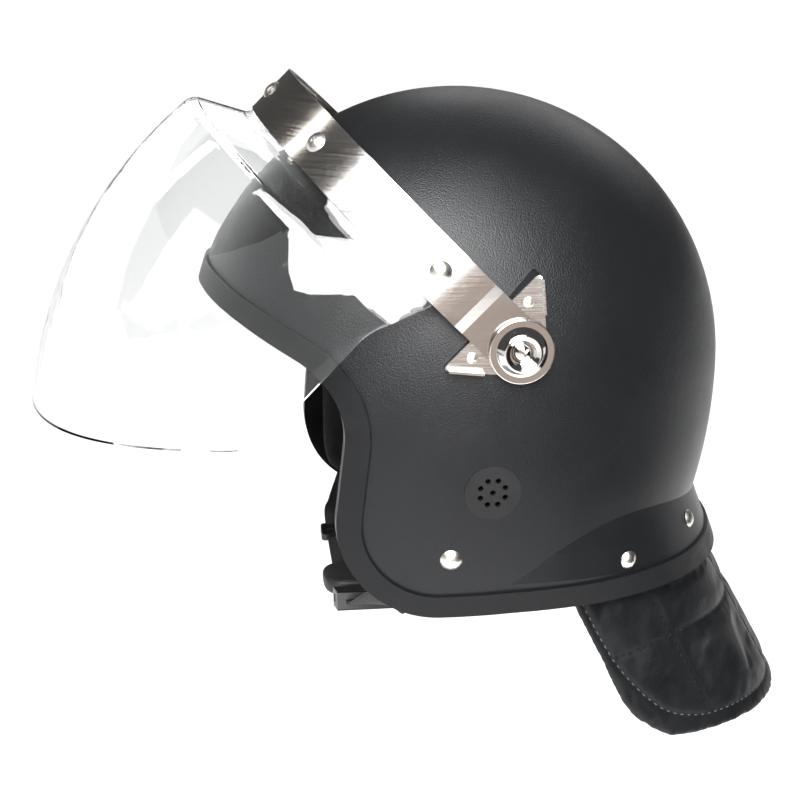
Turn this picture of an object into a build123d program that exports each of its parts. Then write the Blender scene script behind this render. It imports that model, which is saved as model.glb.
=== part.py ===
from build123d import *
from functools import lru_cache
import math
import os

# Police riot helmet with a clear hinged visor, a quilted neck guard and a chin strap.
# Millimetres, Z up. The face opening looks along -Y and the wearer's left side is +X.
# The origin is the centre of the dome, in the middle of the head cavity.

# Shell form
dome_radius = 143.0             # forehead, crown and back lie on this circle in side view
half_width = 125.0
fullness_share = 0.60           # handle of the rounding curves, 0.552 would be an ellipse
cheek_close_depth = 260.0       # depth below the centre where the sides would close
back_close_depth = 195.0        # depth below the centre where the back would close
form_depth = 150.0              # the lower form is drawn this far down before the rim is cut
shell_wall = 4.0
overrun = 12.0                  # cuts and cutting bodies run this far past what they cut

# Flared skirt round the back of the neck
skirt_start_y = 12.0
skirt_top_depth = 48.0
skirt_crease_depth = 72.0       # at the middle of the back
skirt_side_depth = 94.0         # at the sides, where the crease fades out
skirt_angle = 21.0
skirt_side_tuck = 5.0           # the skirt's top starts this far inside the dome's sides
skirt_fullness_share = 0.64

# Rim of the shell, seen from the side: brow, temple and jaw corners and the level bottom
brow_y = 137.0
brow_z = 43.5
temple_y = 68.0
temple_z = 9.5
temple_bend = 42.0
jaw_y = 80.5
jaw_depth = 113.2
jaw_bend = 50.0
level_end_y = 60.0
level_end_depth = 108.8
level_bend = 220.0
nape_y = 146.0
nape_depth = 103.0

# Rubber edge trim, a channel pushed over the rim
trim_lip = 2.0
trim_leg = 12.0
trim_wall = 1.6

# Visor hinge
pivot_y = 13.3
pivot_z = 30.8
arm_rest_angle = 45.5           # angle of the arm above the level in the modelled pose
pad_face_x = 124.6              # flat pads on the shell carry the stop plates
plate_thickness = 1.2
plate_tip_along = 20.5
plate_tip_across = 34.0
plate_apex_behind = 21.0
plate_apex_radius = 13.0
plate_tip_radius = 1.6
plate_tab_length = 17.5
plate_tab_rise = 4.6
plate_rivet_along = 14.0
plate_rivet_across = 19.0
bolt_diameter = 6.0
bolt_head_diameter = 11.0
bolt_head_height = 3.6
bolt_tail = 1.5
cross_slot_width = 1.5
cross_slot_length = 6.0
cross_slot_depth = 1.8
nut_across_flats = 10.0
nut_height = 5.0
nut_seat_diameter = 20.0
nut_seat_depth = 1.6
bush_diameter = 10.0
bush_flange_diameter = 20.0
bush_flange = 1.0
washer_diameter = 18.0
washer_thickness = 1.0
washer_dish = 0.5
cap_diameter = 32.0
cap_flange = 1.2
cap_dome_diameter = 25.0
cap_crest_diameter = 18.0
cap_height = 5.6
cap_cup_diameter = 13.0
cap_edge_round = 0.5
running_gap = 0.05              # radial clearance of the turning arm on its bush
face_gap = 0.1                  # axial clearance beside the turning arm
shank_gap = 0.05                # clearance of bolts and rivets in their holes
seat_gap = 0.3                  # clearance beside soft pieces

# Steel band that carries the visor
band_width = 28.0
band_thickness = 1.2
band_reach = 157.5              # pivot to the outer face at the front
band_half_span = 130.4
band_arch_start = 40.0
joggle_start = 27.0
joggle_length = 6.0

# Clear visor
shield_thickness = 3.0
shield_top_margin = 2.0
ledge_start = 17.4
ledge_reach = 28.5
ledge_drop = 15.0
ledge_bend = 5.0
ridge_bend = 8.0
bubble_radius = 239.0
bubble_lean = 4.5
bubble_turn = 42.0
side_swell_share = 0.06
shield_back_top = 45.0
shield_back_step = 9.0
shield_back = 60.0
shield_back_drop = 45.0
shield_back_bend = 30.0
shield_corner = 58.0
shield_corner_drop = 124.0
shield_corner_bend = 30.0
shield_bottom_reach = 137.0
shield_bottom_drop = 205.0
arc_stations = 6

# Dome rivets
rivet_head_diameter = 11.0
rivet_head_height = 2.6
rivet_shank_diameter = 4.0
rivet_washer_diameter = 10.0
rivet_washer_thickness = 0.8
rivet_washer_gap = 0.15          # flat washers inside the curved visor
rivet_tail_diameter = 6.0
rivet_tail_height = 0.9
rivet_turns = (8.0, 53.0, 90.0, 127.0, 172.0)
small_rivet_diameter = 5.5
small_rivet_height = 0.7
small_shank_diameter = 3.0

# Ear grilles
grille_y = 1.3
grille_depth = 42.3
grille_diameter = 28.5
grille_thickness = 2.2
grille_rebate = 2.5
grille_hole_diameter = 2.8
grille_ring_radius = 6.7
grille_ring_holes = 8

# Foam liner and comfort pads
liner_thickness = 24.0
liner_bottom_depth = 34.0
pad_thickness = 12.0
pad_edge = 4.0
crown_pad_length = 128.0
crown_pad_width = 108.0
pad_channel_width = 3.0
pad_channel_depth = 3.0
brow_pad_bottom = 52.0
brow_pad_top = 74.0
brow_pad_back_y = 62.0
cheek_pad_front_y = 64.0
cheek_pad_back_y = 24.0
cheek_pad_top_depth = 12.0
cheek_pad_bottom_depth = 98.0
cheek_pad_corner = 16.0
cheek_pad_inner_x = 80.0
cheek_pad_crown = 4.0
nape_pad_top_depth = 37.0
nape_pad_bottom_depth = 72.0
nape_pad_front_y = 70.0
nape_pad_thickness = 26.0

# Quilted neck guard
guard_thickness = 7.5
guard_top_depth = 79.0
guard_hang_depth = 111.0
guard_bottom_depth = 193.5
guard_slope_share = 0.55        # below the rim the back of the guard moves back by this share of its drop
guard_front_slope_share = 0.49
guard_front_y = 47.0
guard_corner_bend = 49.0
guard_top_front_y = 36.0
guard_lining = 1.2
guard_seam_inset = 7.0
guard_seam_width = 1.2
guard_seam_depth = 1.0
guard_column_x = (79.0, 27.0)
guard_row_depth = 144.0
stud_y = (76.0, 117.0)
stud_above_rim = (20.0, 26.0)
stud_head_diameter = 9.5
stud_head_height = 2.4

# Chin strap and buckle
strap_width = 20.0
strap_thickness = 1.6
strap_rivet_y = 18.5
strap_rivet_depth = 78.6
strap_chin_y = 56.0
strap_chin_depth = 130.5
strap_level_half = 22.0         # half of the level stretch that the chin cup sits on
strap_side_run = 50.0
strap_side_rise = 13.0
buckle_start = 12.0             # along the sloping side of the strap
clip_bar = 7.0
clip_width = 26.0
clip_height = 6.0
prong_length = 15.0
prong_width = 3.6
prong_height = 3.4
prong_spread = 8.4
prong_hook = 1.8
socket_length = 26.0
socket_width = 30.0
socket_height = 10.0
socket_wall = 2.0
socket_window = 11.0
buckle_gap = 0.5
bar_slot_depth = 5.0
cup_length = 34.0
cup_width = 34.0
cup_height = 10.0
cup_rise = 3.5
cup_corner = 13.0
cup_round = 4.0
slider_start = 26.0
slider_length = 12.0
slider_width = 27.0
slider_height = 4.4
slider_bar = 1.8
strap_wall_shares = (0.5, 0.75)
strap_free_shares = (0.35, 0.7, 1)

# Everything below is worked out from the sizes above.
span = dome_radius + half_width


def quarter_curve(across, along, fullness):
    """Quarter of a rounded outline, from (across, 0) to (0, along)."""
    return Bezier((across, 0), (across, along * fullness), (across * fullness, along), (0, along))


def taper(depth, close_depth):
    return math.sqrt(1 - (depth / close_depth) ** 2)


def form_half_width(y, depth, inset):
    """Half width of the plain form at a distance y behind the centre."""
    across = half_width * taper(depth, cheek_close_depth) - inset
    along = dome_radius * taper(depth, back_close_depth) - inset
    curve = quarter_curve(across, along, fullness_share)
    low, high = 0.0, 1.0
    for _ in range(40):
        middle = (low + high) / 2
        if (curve @ middle).Y < y:
            low = middle
        else:
            high = middle
    return (curve @ low).X


def ring_section(depth, inset):
    """Level section of the plain form, an outline fuller in front than at the back."""
    across = half_width * taper(depth, cheek_close_depth) - inset
    front = dome_radius * taper(depth, cheek_close_depth) - inset
    back = dome_radius * taper(depth, back_close_depth) - inset
    back_left = quarter_curve(across, back, fullness_share)
    front_left = mirror(quarter_curve(across, front, fullness_share), about=Plane.XZ)
    left = [back_left, front_left]
    right = [mirror(edge, about=Plane.YZ) for edge in left]
    outline = Wire(left[0].edges() + left[1].edges() + right[0].edges() + right[1].edges())
    return Pos(0, 0, -depth) * Face(outline)


@lru_cache(maxsize=None)
def plain_form(inset):
    """Solid of the dome and the tapering lower half, drawn in by the inset."""
    quarter = quarter_curve(half_width - inset, dome_radius - inset, fullness_share)
    half = Wire(quarter.edges() + mirror(quarter, about=Plane.YZ).edges()
                + Line((-half_width + inset, 0), (half_width - inset, 0)).edges())
    upper = revolve(Face(half), Axis.X, 180)
    steps = 4
    lower = loft([ring_section(form_depth * step / steps, inset) for step in range(steps + 1)])
    return upper + lower


def skirt_back_y(depth):
    crease_y = dome_radius * taper(skirt_crease_depth, back_close_depth)
    return crease_y + (depth - skirt_crease_depth) * math.tan(math.radians(skirt_angle))


def back_section(depth, side, back, start_y, fullness):
    """Level section behind start_y, rounded at the back and straight in front."""
    left = quarter_curve(side, back - start_y, fullness)
    right = mirror(left, about=Plane.YZ)
    outline = Wire(left.edges() + right.edges() + Line((-side, 0), (side, 0)).edges())
    return Pos(0, start_y, -depth) * Face(outline)


def skirt_side(depth):
    """Half width of the skirt where it leaves the plain form, tucked in above the crease."""
    above = max(0, (skirt_side_depth - depth) / (skirt_side_depth - skirt_top_depth))
    return form_half_width(skirt_start_y, depth, 0) - skirt_side_tuck * above


def skirt_section(depth, inset):
    return back_section(depth, skirt_side(depth) - inset, skirt_back_y(depth) - inset, skirt_start_y,
                        skirt_fullness_share)


@lru_cache(maxsize=None)
def full_form(inset):
    """Plain form with the flared skirt round the back of the neck."""
    depths = (skirt_top_depth, guard_top_depth, skirt_side_depth, guard_hang_depth, form_depth)
    skirt = loft([skirt_section(depth, inset) for depth in depths], ruled=True)
    return plain_form(inset) + skirt


def side_prism(face):
    """Extrude a side view face, drawn in Y and Z, across the whole width."""
    return extrude(Plane.YZ * face, amount=span, both=True)


def rim_face(inset):
    """Side view of what the rim keeps: brow, temple notch, jaw corner and level bottom."""
    brow_slope = (brow_z - temple_z) / (brow_y - temple_y)
    nape_slope = (level_end_depth - nape_depth) / (nape_y - level_end_y)
    front_point = (-span, temple_z + (span - temple_y) * brow_slope)
    back_point = (span, -level_end_depth + (span - level_end_y) * nape_slope)
    rim = FilletPolyline(front_point, (-temple_y, temple_z), (-jaw_y, -jaw_depth),
                         (level_end_y, -level_end_depth), back_point,
                         radius=[temple_bend, jaw_bend, level_bend])
    closing = Polyline(back_point, (span, span), (-span, span), front_point)
    face = Face(Wire(rim.edges() + closing.edges()))
    if inset > 0:
        face = offset(face, amount=-inset, kind=Kind.INTERSECTION)
    return face


def rim_prism(inset):
    return side_prism(rim_face(inset))


def both_sides(shape):
    """The given piece of the left side and its mirror on the right side."""
    return shape, mirror(shape, about=Plane.YZ)


def surface_plane(form, y, z):
    """Plane on the left outer surface at y and z, with its normal outward."""
    hits = form.find_intersection_points(Axis((span, y, z), (-1, 0, 0)))
    point, normal = max(hits, key=lambda hit: hit[0].X)
    if normal.X < 0:
        normal = -normal
    return Plane(origin=point, x_dir=(0, 1, 0), z_dir=normal)


def turned(points):
    """Solid turned about the local Z axis from (radius, height) points."""
    profile = Plane.XZ * make_face(Polyline(*points, close=True).edges())
    return revolve(profile, Axis.Z, 360)


def dome_head(diameter, height):
    """Low rounded rivet head standing on the local XY plane, a cap of a sphere."""
    radius = diameter / 2
    ball = (radius ** 2 + height ** 2) / (2 * height)
    return (Pos(0, 0, height - ball) * Sphere(ball)) & rod(diameter, 0, height)


def rod(diameter, bottom, top):
    """Round rod on the local Z axis between two heights."""
    return Pos(0, 0, (bottom + top) / 2) * Cylinder(diameter / 2, top - bottom)


# Frame of the visor in its modelled pose: X across, Y along the arm, Z down the visor.
arm_sine = math.sin(math.radians(arm_rest_angle))
arm_cosine = math.cos(math.radians(arm_rest_angle))
arm_plane = Plane(origin=(0, pivot_y, pivot_z), x_dir=(1, 0, 0), z_dir=(0, -arm_sine, -arm_cosine))
pivot_axis_plane = Plane(origin=(0, pivot_y, pivot_z), x_dir=arm_plane.y_dir, z_dir=(1, 0, 0))

outer_form = full_form(0)
inner_form = full_form(shell_wall)
plain_inner = plain_form(shell_wall)

# Places along the pivot, from the shell outwards
plate_face_x = pad_face_x + plate_thickness
flange_face_x = plate_face_x + bush_flange
arm_inner_x = flange_face_x + face_gap
arm_outer_x = arm_inner_x + band_thickness
washer_inner_x = arm_outer_x + face_gap
cap_inner_x = washer_inner_x + washer_thickness + washer_dish
nut_face_x = (surface_plane(plain_inner, pivot_y, pivot_z).origin.X) - nut_seat_depth


def plate_outline():
    """Stop plate seen along the pivot: arm direction is local X, across is local Y."""
    corners = [(plate_tip_along, plate_tip_across), (-plate_apex_behind, 0),
               (plate_tip_along, -plate_tip_across)]
    triangle = make_face(Polyline(*corners, close=True).edges())
    tips = triangle.vertices().sort_by(Axis.X)
    triangle = fillet(tips[0], plate_apex_radius)
    return fillet(triangle.vertices().sort_by(Axis.X)[-2:], plate_tip_radius)


def stop_plate():
    """Flat triangular plate whose two outer edges are bent out as stops for the arm."""
    outline = plate_outline()
    plate = extrude(outline, amount=plate_thickness)
    edge_angle = math.atan2(plate_tip_across, plate_tip_along + plate_apex_behind)
    edge_angle = math.degrees(edge_angle)
    for sign in (1, -1):
        tip = Pos(plate_tip_along, sign * plate_tip_across)
        tab = Box(plate_tab_length, plate_thickness, plate_tab_rise + plate_thickness,
                  align=(Align.MAX, Align.MAX if sign > 0 else Align.MIN, Align.MIN))
        plate += tip * Rot(0, 0, sign * edge_angle) * Pos(-2 * plate_tip_radius, 0, 0) * tab
    plate -= rod(bolt_diameter + 2 * shank_gap, -overrun, overrun)
    rivet_hole = rod(small_shank_diameter + 2 * shank_gap, -overrun, overrun)
    plate -= Pos(plate_rivet_along, plate_rivet_across, 0) * rivet_hole
    plate -= Pos(plate_rivet_along, -plate_rivet_across, 0) * rivet_hole
    return pivot_axis_plane.offset(pad_face_x) * plate


def pivot_place(x):
    return pivot_axis_plane.offset(x)


def rim_z(y):
    """Height of the rim's free edge behind the jaw."""
    nape_slope = (level_end_depth - nape_depth) / (nape_y - level_end_y)
    return -level_end_depth + (y - level_end_y) * nape_slope


strap_rivet_place = surface_plane(outer_form, -strap_rivet_y, -strap_rivet_depth)
grille_place = surface_plane(outer_form, grille_y, -grille_depth)
stud_places = [surface_plane(outer_form, y, rim_z(y) + above) for y, above in zip(stud_y, stud_above_rim)]


def make_shell():
    pads = side_prism_pads()
    shell = outer_form + pads
    shell -= inner_form
    nut_pad = pivot_place(nut_face_x) * rod(nut_seat_diameter, 0, shell_wall)
    shell += nut_pad
    shell += mirror(nut_pad, about=Plane.YZ)
    shell &= rim_prism(trim_lip)
    cutters = [pivot_place(0) * rod(bolt_diameter + 2 * shank_gap, half_width / 2, span)]
    for across in (plate_rivet_across, -plate_rivet_across):
        hole = rod(small_shank_diameter + 2 * shank_gap, half_width / 2, span)
        cutters.append(pivot_place(0) * Pos(plate_rivet_along, across, 0) * hole)
    rivet_hole = rod(rivet_shank_diameter + 2 * shank_gap, -overrun, overrun)
    cutters.append(strap_rivet_place * rivet_hole)
    cutters += [place * rivet_hole for place in stud_places]
    cutters.append(grille_place * rod(grille_diameter + 2 * shank_gap, -grille_thickness, overrun))
    cutters.append(grille_place * rod(grille_diameter - 2 * grille_rebate, -overrun, overrun))
    for cutter in cutters:
        shell -= cutter
        shell -= mirror(cutter, about=Plane.YZ)
    return shell


def side_prism_pads():
    """Flat pads that carry the stop plates, with the plates' own outline."""
    pad = pivot_axis_plane * extrude(plate_outline(), amount=pad_face_x)
    return pad + mirror(pad, about=Plane.YZ)


def make_trim(shell):
    rim_strip = rim_prism(0) - rim_prism(trim_leg)
    outer = full_form(-trim_wall) & rim_strip
    return outer - full_form(shell_wall + trim_wall) - shell


def make_grille():
    grille = rod(grille_diameter, -grille_thickness, 0)
    holes = rod(grille_hole_diameter, -overrun, overrun)
    ring = PolarLocations(grille_ring_radius, grille_ring_holes, start_angle=22.5)
    for place in ring:
        grille -= place * holes
    grille -= holes
    return grille_place * grille


def make_cap():
    outer, dome = cap_diameter / 2, cap_dome_diameter / 2
    crest, cup = cap_crest_diameter / 2, cap_cup_diameter / 2
    hole = bolt_diameter / 2 + shank_gap
    profile = [(hole, 0), (outer, 0), (outer, cap_flange), (dome, cap_flange),
               (crest, cap_height), (cup, cap_height - cap_flange), (cup, cap_flange), (hole, cap_flange)]
    face = make_face(Polyline(*profile, close=True).edges())
    corners = face.vertices()
    face = fillet([v for v in corners if abs(v.Y - cap_height) < cap_edge_round], cap_flange)
    face = fillet([v for v in face.vertices() if abs(v.X - outer) < cap_edge_round], cap_edge_round)
    return pivot_place(cap_inner_x) * revolve(Plane.XZ * face, Axis.Z, 360)


def make_bolt():
    head_x = cap_inner_x + cap_flange
    head = dome_head(bolt_head_diameter, bolt_head_height)
    top = Pos(0, 0, bolt_head_height)
    slot = Box(cross_slot_length, cross_slot_width, 2 * cross_slot_depth)
    head -= top * slot
    head -= top * Rot(0, 0, 90) * slot
    shank = rod(bolt_diameter, nut_face_x - nut_height - bolt_tail - head_x, 0)
    return pivot_place(head_x) * (head + shank)


def make_nut():
    nut = extrude(RegularPolygon(nut_across_flats / 2, 6, major_radius=False), amount=-nut_height)
    nut -= rod(bolt_diameter + 2 * shank_gap, -span, span)
    return pivot_place(nut_face_x) * nut


def make_bush():
    flange = rod(bush_flange_diameter, plate_face_x, flange_face_x)
    sleeve = rod(bush_diameter, plate_face_x, cap_inner_x)
    return pivot_place(0) * (flange + sleeve - rod(bolt_diameter + 2 * shank_gap, 0, span))


def make_spring_washer():
    """Dished washer between the arm and the cap."""
    inner, outer = bush_diameter / 2 + running_gap, washer_diameter / 2
    low, high = washer_inner_x, cap_inner_x
    return pivot_place(0) * turned([(inner, high - washer_thickness), (outer, low),
                                    (outer, low + washer_thickness), (inner, high)])


def band_plan(inset):
    """Plan of the band in the visor's frame: straight arms, a joggle and the front arch."""
    hinge_x = arm_outer_x - inset
    side_x = band_half_span - inset
    front = band_reach - band_arch_start - inset
    arm_end = -band_width
    left = Polyline((hinge_x, arm_end), (hinge_x, joggle_start),
                    (side_x, joggle_start + joggle_length), (side_x, band_arch_start))
    right = mirror(left, about=Plane.YZ)
    arch = Pos(0, band_arch_start) * EllipticalCenterArc((0, 0), side_x, front, arc_size=180)
    base = Line((hinge_x, arm_end), (-hinge_x, arm_end))
    return make_face(left.edges() + right.edges() + arch.edges() + base.edges())


def band_station(turn):
    """Plane on the band's outer face at a turn round the arch, normal outward."""
    front = band_reach - band_arch_start
    angle = math.radians(turn)
    x, along = band_half_span * math.cos(angle), band_arch_start + front * math.sin(angle)
    normal = (math.cos(angle) / band_half_span, math.sin(angle) / front, 0)
    return arm_plane * Plane(origin=(x, along, 0), x_dir=(0, 0, 1), z_dir=normal).location


def make_band():
    plan = band_plan(0) - band_plan(band_thickness)
    strip = extrude(plan, amount=band_width / 2, both=True)
    end = side_outline([(0, -band_width / 2), (span, -band_width / 2), (span, band_width / 2),
                        (0, band_width / 2)])
    end += Circle(band_width / 2)
    strip &= across_prism(end)
    strip -= Rot(0, 90, 0) * Cylinder(bush_diameter / 2 + running_gap, 2 * span)
    band = arm_plane * strip
    for turn in rivet_turns:
        band -= band_station(turn) * rod(rivet_shank_diameter + 2 * shank_gap, -overrun, overrun)
    return band


def side_outline(points):
    """Face in the (along, down) side view of the visor's frame."""
    return make_face(Polyline(*points, close=True).edges())


def across_prism(face):
    """Extrude an (along, down) face across the visor's frame."""
    side_plane = Plane(origin=(0, 0, 0), x_dir=(0, 1, 0), z_dir=(1, 0, 0))
    return extrude(side_plane * face, amount=span, both=True)


def shield_profile():
    """Side view of the visor's outer face in the middle: strip, ledge, ridge and bubble."""
    reach = band_reach - band_thickness - shank_gap
    top = (reach, -band_width / 2)
    ledge = (reach, ledge_start)
    ridge = (reach + ledge_reach, ledge_start + ledge_drop)
    lean, turn = math.radians(bubble_lean), math.radians(bubble_turn)
    side = bubble_radius * math.tan(turn / 2) + ridge_bend
    middle = (ridge[0] + side * math.sin(lean), ridge[1] + side * math.cos(lean))
    run = side + 2 * overrun
    bottom = (middle[0] + run * math.sin(lean - turn), middle[1] + run * math.cos(lean - turn))
    return FilletPolyline(top, ledge, ridge, middle, bottom,
                          radius=[ledge_bend, ridge_bend, bubble_radius])


def shield_section(reach, drop, strip_reach, inset):
    """Level section of the visor at one drop below the arm's centre line."""
    strip_side = band_half_span - band_thickness - shank_gap
    side = strip_side + side_swell_share * (reach - strip_reach) - inset
    front = reach - band_arch_start
    arch = Pos(0, band_arch_start) * EllipticalCenterArc((0, 0), side, front, arc_size=180)
    back = -band_width
    walls = Polyline((side, band_arch_start), (side, back), (-side, back), (-side, band_arch_start))
    return Pos(0, 0, drop) * make_face(arch.edges() + walls.edges())


def shield_solid(inset):
    """Solid inside the visor's outer face, one stretch for each line or arc of its profile."""
    profile = shield_profile()
    strip_reach = (profile @ 0).X
    solid = None
    for edge in profile.edges():
        stations = 2 if edge.geom_type == GeomType.LINE else arc_stations
        sections = []
        for station in range(stations):
            share = station / (stations - 1)
            point, heading = edge @ share, edge % share
            if heading.Y < 0:
                heading = -heading
            reach, drop = point.X - heading.Y * inset, point.Y + heading.X * inset
            sections.append(shield_section(reach, drop, strip_reach - inset, inset))
        stretch = loft(sections, ruled=stations == 2)
        solid = stretch if solid is None else solid + stretch
    return solid


def make_shield():
    shield = shield_solid(0) - shield_solid(shield_thickness)
    top = -band_width / 2 + shield_top_margin
    edge = FilletPolyline((shield_back_top, top), (shield_back_top, shield_back_step),
                          (shield_back, shield_back_drop), (shield_corner, shield_corner_drop),
                          (shield_bottom_reach, shield_bottom_drop),
                          radius=[shield_back_bend, shield_back_bend, shield_corner_bend])
    slope = (shield_bottom_drop - shield_corner_drop) / (shield_bottom_reach - shield_corner)
    front_drop = shield_bottom_drop + (span - shield_bottom_reach) * slope
    closing = Polyline((shield_bottom_reach, shield_bottom_drop), (span, front_drop), (span, top),
                       (shield_back_top, top))
    shield &= across_prism(Face(Wire(edge.edges() + closing.edges())))
    shield = arm_plane * shield
    for turn in rivet_turns:
        shield -= band_station(turn) * rod(rivet_shank_diameter + 2 * shank_gap, -overrun, overrun)
    return shield


def make_visor_rivets():
    grip = band_thickness + shank_gap + shield_thickness + rivet_washer_thickness + rivet_washer_gap
    rivet = dome_head(rivet_head_diameter, rivet_head_height)
    rivet += rod(rivet_shank_diameter, -grip, 0)
    rivet += rod(rivet_tail_diameter, -grip - rivet_tail_height, -grip)
    washer_top = -band_thickness - shank_gap - shield_thickness - rivet_washer_gap
    washer = rod(rivet_washer_diameter, washer_top - rivet_washer_thickness, washer_top)
    washer -= rod(rivet_shank_diameter + 2 * shank_gap, -overrun, overrun)
    rivets = [band_station(turn) * rivet for turn in rivet_turns]
    washers = [band_station(turn) * washer for turn in rivet_turns]
    return Compound(rivets), Compound(washers)


def make_plate_rivets():
    grip = pad_face_x + plate_thickness
    rivet = Pos(0, 0, grip) * dome_head(small_rivet_diameter, small_rivet_height)
    rivets = []
    for across in (plate_rivet_across, -plate_rivet_across):
        place = Pos(plate_rivet_along, across, 0)
        wall = pivot_axis_plane * place * rod(small_shank_diameter, half_width / 2, grip)
        wall -= plain_form(shell_wall + seat_gap)
        rivets.append(pivot_axis_plane * place * rivet + wall)
    rivets += [mirror(shape, about=Plane.YZ) for shape in rivets]
    return Compound([shape.solid() for shape in rivets])


def make_liner():
    liner = plain_form(shell_wall + seat_gap) - plain_form(shell_wall + seat_gap + liner_thickness)
    liner &= rim_prism(trim_leg + seat_gap)
    liner &= Pos(0, 0, span / 2 - liner_bottom_depth) * Box(2 * span, 2 * span, span)
    pocket = pivot_place(0) * rod(nut_seat_diameter + 2 * seat_gap, nut_face_x - nut_height - overrun, span)
    liner -= pocket
    liner -= mirror(pocket, about=Plane.YZ)
    return liner


cavity_inset = shell_wall + 2 * seat_gap + liner_thickness


def make_crown_pad():
    """Cushion under the crown, with drawn-in sides and two crossing sewn channels."""
    outer = plain_form(cavity_inset)
    inner = plain_form(cavity_inset + pad_thickness)
    outline = Ellipse(crown_pad_width / 2, crown_pad_length / 2)
    tall = extrude(outline, amount=span)
    pad = (outer - inner) & tall
    thin = outer - plain_form(cavity_inset + pad_thickness - pad_channel_depth)
    rim = Ellipse(crown_pad_width / 2 - pad_edge, crown_pad_length / 2 - pad_edge)
    pad &= thin + extrude(rim, amount=span)
    lower = inner - plain_form(cavity_inset + pad_thickness - pad_channel_depth)
    layer = plain_form(cavity_inset + pad_thickness - pad_channel_depth) - inner
    channels = Box(pad_channel_width, 2 * span, 2 * span) + Box(2 * span, pad_channel_width, 2 * span)
    pad -= layer & channels
    return pad


def make_brow_pad():
    """Curved cushion across the forehead, with its inner edges drawn in."""
    bottom, top = brow_pad_bottom, brow_pad_top
    outer = plain_form(cavity_inset)
    inner = plain_form(cavity_inset + pad_thickness)
    front = Pos(0, -brow_pad_back_y - span / 2, (bottom + top) / 2)
    full = front * Box(2 * span, span, top - bottom)
    narrow = Pos(0, -pad_edge, 0) * front * Box(2 * span, span, top - bottom - 2 * pad_edge)
    thin = outer - plain_form(cavity_inset + pad_thickness - pad_channel_depth)
    return ((outer - inner) & full) & (thin + narrow)


def make_cheek_pad():
    """Left cheek cushion: fits the shell outside, swells towards the cheek inside."""
    outer = plain_form(shell_wall + trim_wall + strap_thickness + 3 * seat_gap)
    front, back = -cheek_pad_front_y, cheek_pad_back_y
    top, bottom = -cheek_pad_top_depth, -cheek_pad_bottom_depth
    middle_y, middle_z = (front + back) / 2, (top + bottom) / 2
    length, height = back - front, top - bottom

    def outline(shrink):
        return Pos(middle_y, middle_z) * RectangleRounded(length - 2 * shrink, height - 2 * shrink,
                                                          cheek_pad_corner - shrink)

    def layer(shrink, x):
        return Plane.YZ.offset(x) * outline(shrink)

    crest_x = cheek_pad_inner_x - cheek_pad_crown
    swell = loft([layer(0, half_width + overrun), layer(0, cheek_pad_inner_x + pad_edge),
                  layer(pad_edge, cheek_pad_inner_x), layer(3 * pad_edge, crest_x)], ruled=True)
    pad = swell & outer
    tail = strap_rivet_place * rod(rivet_washer_diameter + 2 * seat_gap, -shell_wall - overrun, 0)
    pad -= tail
    liner_skin = plain_form(cavity_inset)
    above = Pos(0, 0, span / 2 - liner_bottom_depth - seat_gap) * Box(2 * span, 2 * span, span)
    return pad - (above - liner_skin)


def make_nape_pad():
    """Cushion behind the neck below the liner."""
    bottom, top = -nape_pad_bottom_depth, -nape_pad_top_depth
    outer = plain_form(shell_wall + seat_gap)
    inner = plain_form(shell_wall + seat_gap + nape_pad_thickness)
    place = Pos(0, nape_pad_front_y + span / 2, (bottom + top) / 2)
    full = place * Box(2 * span, span, top - bottom)
    narrow = Pos(0, pad_edge, 0) * place * Box(2 * span, span, top - bottom - 2 * pad_edge)
    thin = outer - plain_form(shell_wall + seat_gap + nape_pad_thickness - pad_channel_depth)
    return ((outer - inner) & full) & (thin + narrow)


def guard_section(depth, inset):
    """Level section of the neck guard's outer face, drawn in by the inset."""
    hang = min(depth, guard_hang_depth)
    base = shell_wall + trim_wall + seat_gap + inset
    back = skirt_back_y(hang) - base + (depth - hang) * guard_slope_share
    start = skirt_start_y + (depth - hang) * guard_front_slope_share
    return back_section(depth, skirt_side(hang) - base, back, start, skirt_fullness_share)


def guard_solid(inset):
    depths = (guard_top_depth - overrun, guard_top_depth, skirt_side_depth, guard_hang_depth,
              guard_bottom_depth + overrun)
    return loft([guard_section(depth, inset) for depth in depths], ruled=True)


def guard_outline(inset):
    """Side view of the guard: slanted front edge, round lower corner, level bottom."""
    reach = (guard_bottom_depth - guard_hang_depth) * guard_front_slope_share
    corner = (guard_front_y + reach, -guard_bottom_depth)
    edge = FilletPolyline((guard_top_front_y, -guard_top_depth), (guard_front_y, -guard_hang_depth),
                          corner, (span, -guard_bottom_depth), radius=[guard_corner_bend, guard_corner_bend])
    closing = Polyline((span, -guard_bottom_depth), (span, -guard_top_depth),
                       (guard_top_front_y, -guard_top_depth))
    face = Face(Wire(edge.edges() + closing.edges()))
    if inset > 0:
        face = offset(face, amount=-inset, kind=Kind.INTERSECTION)
    return face


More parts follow.
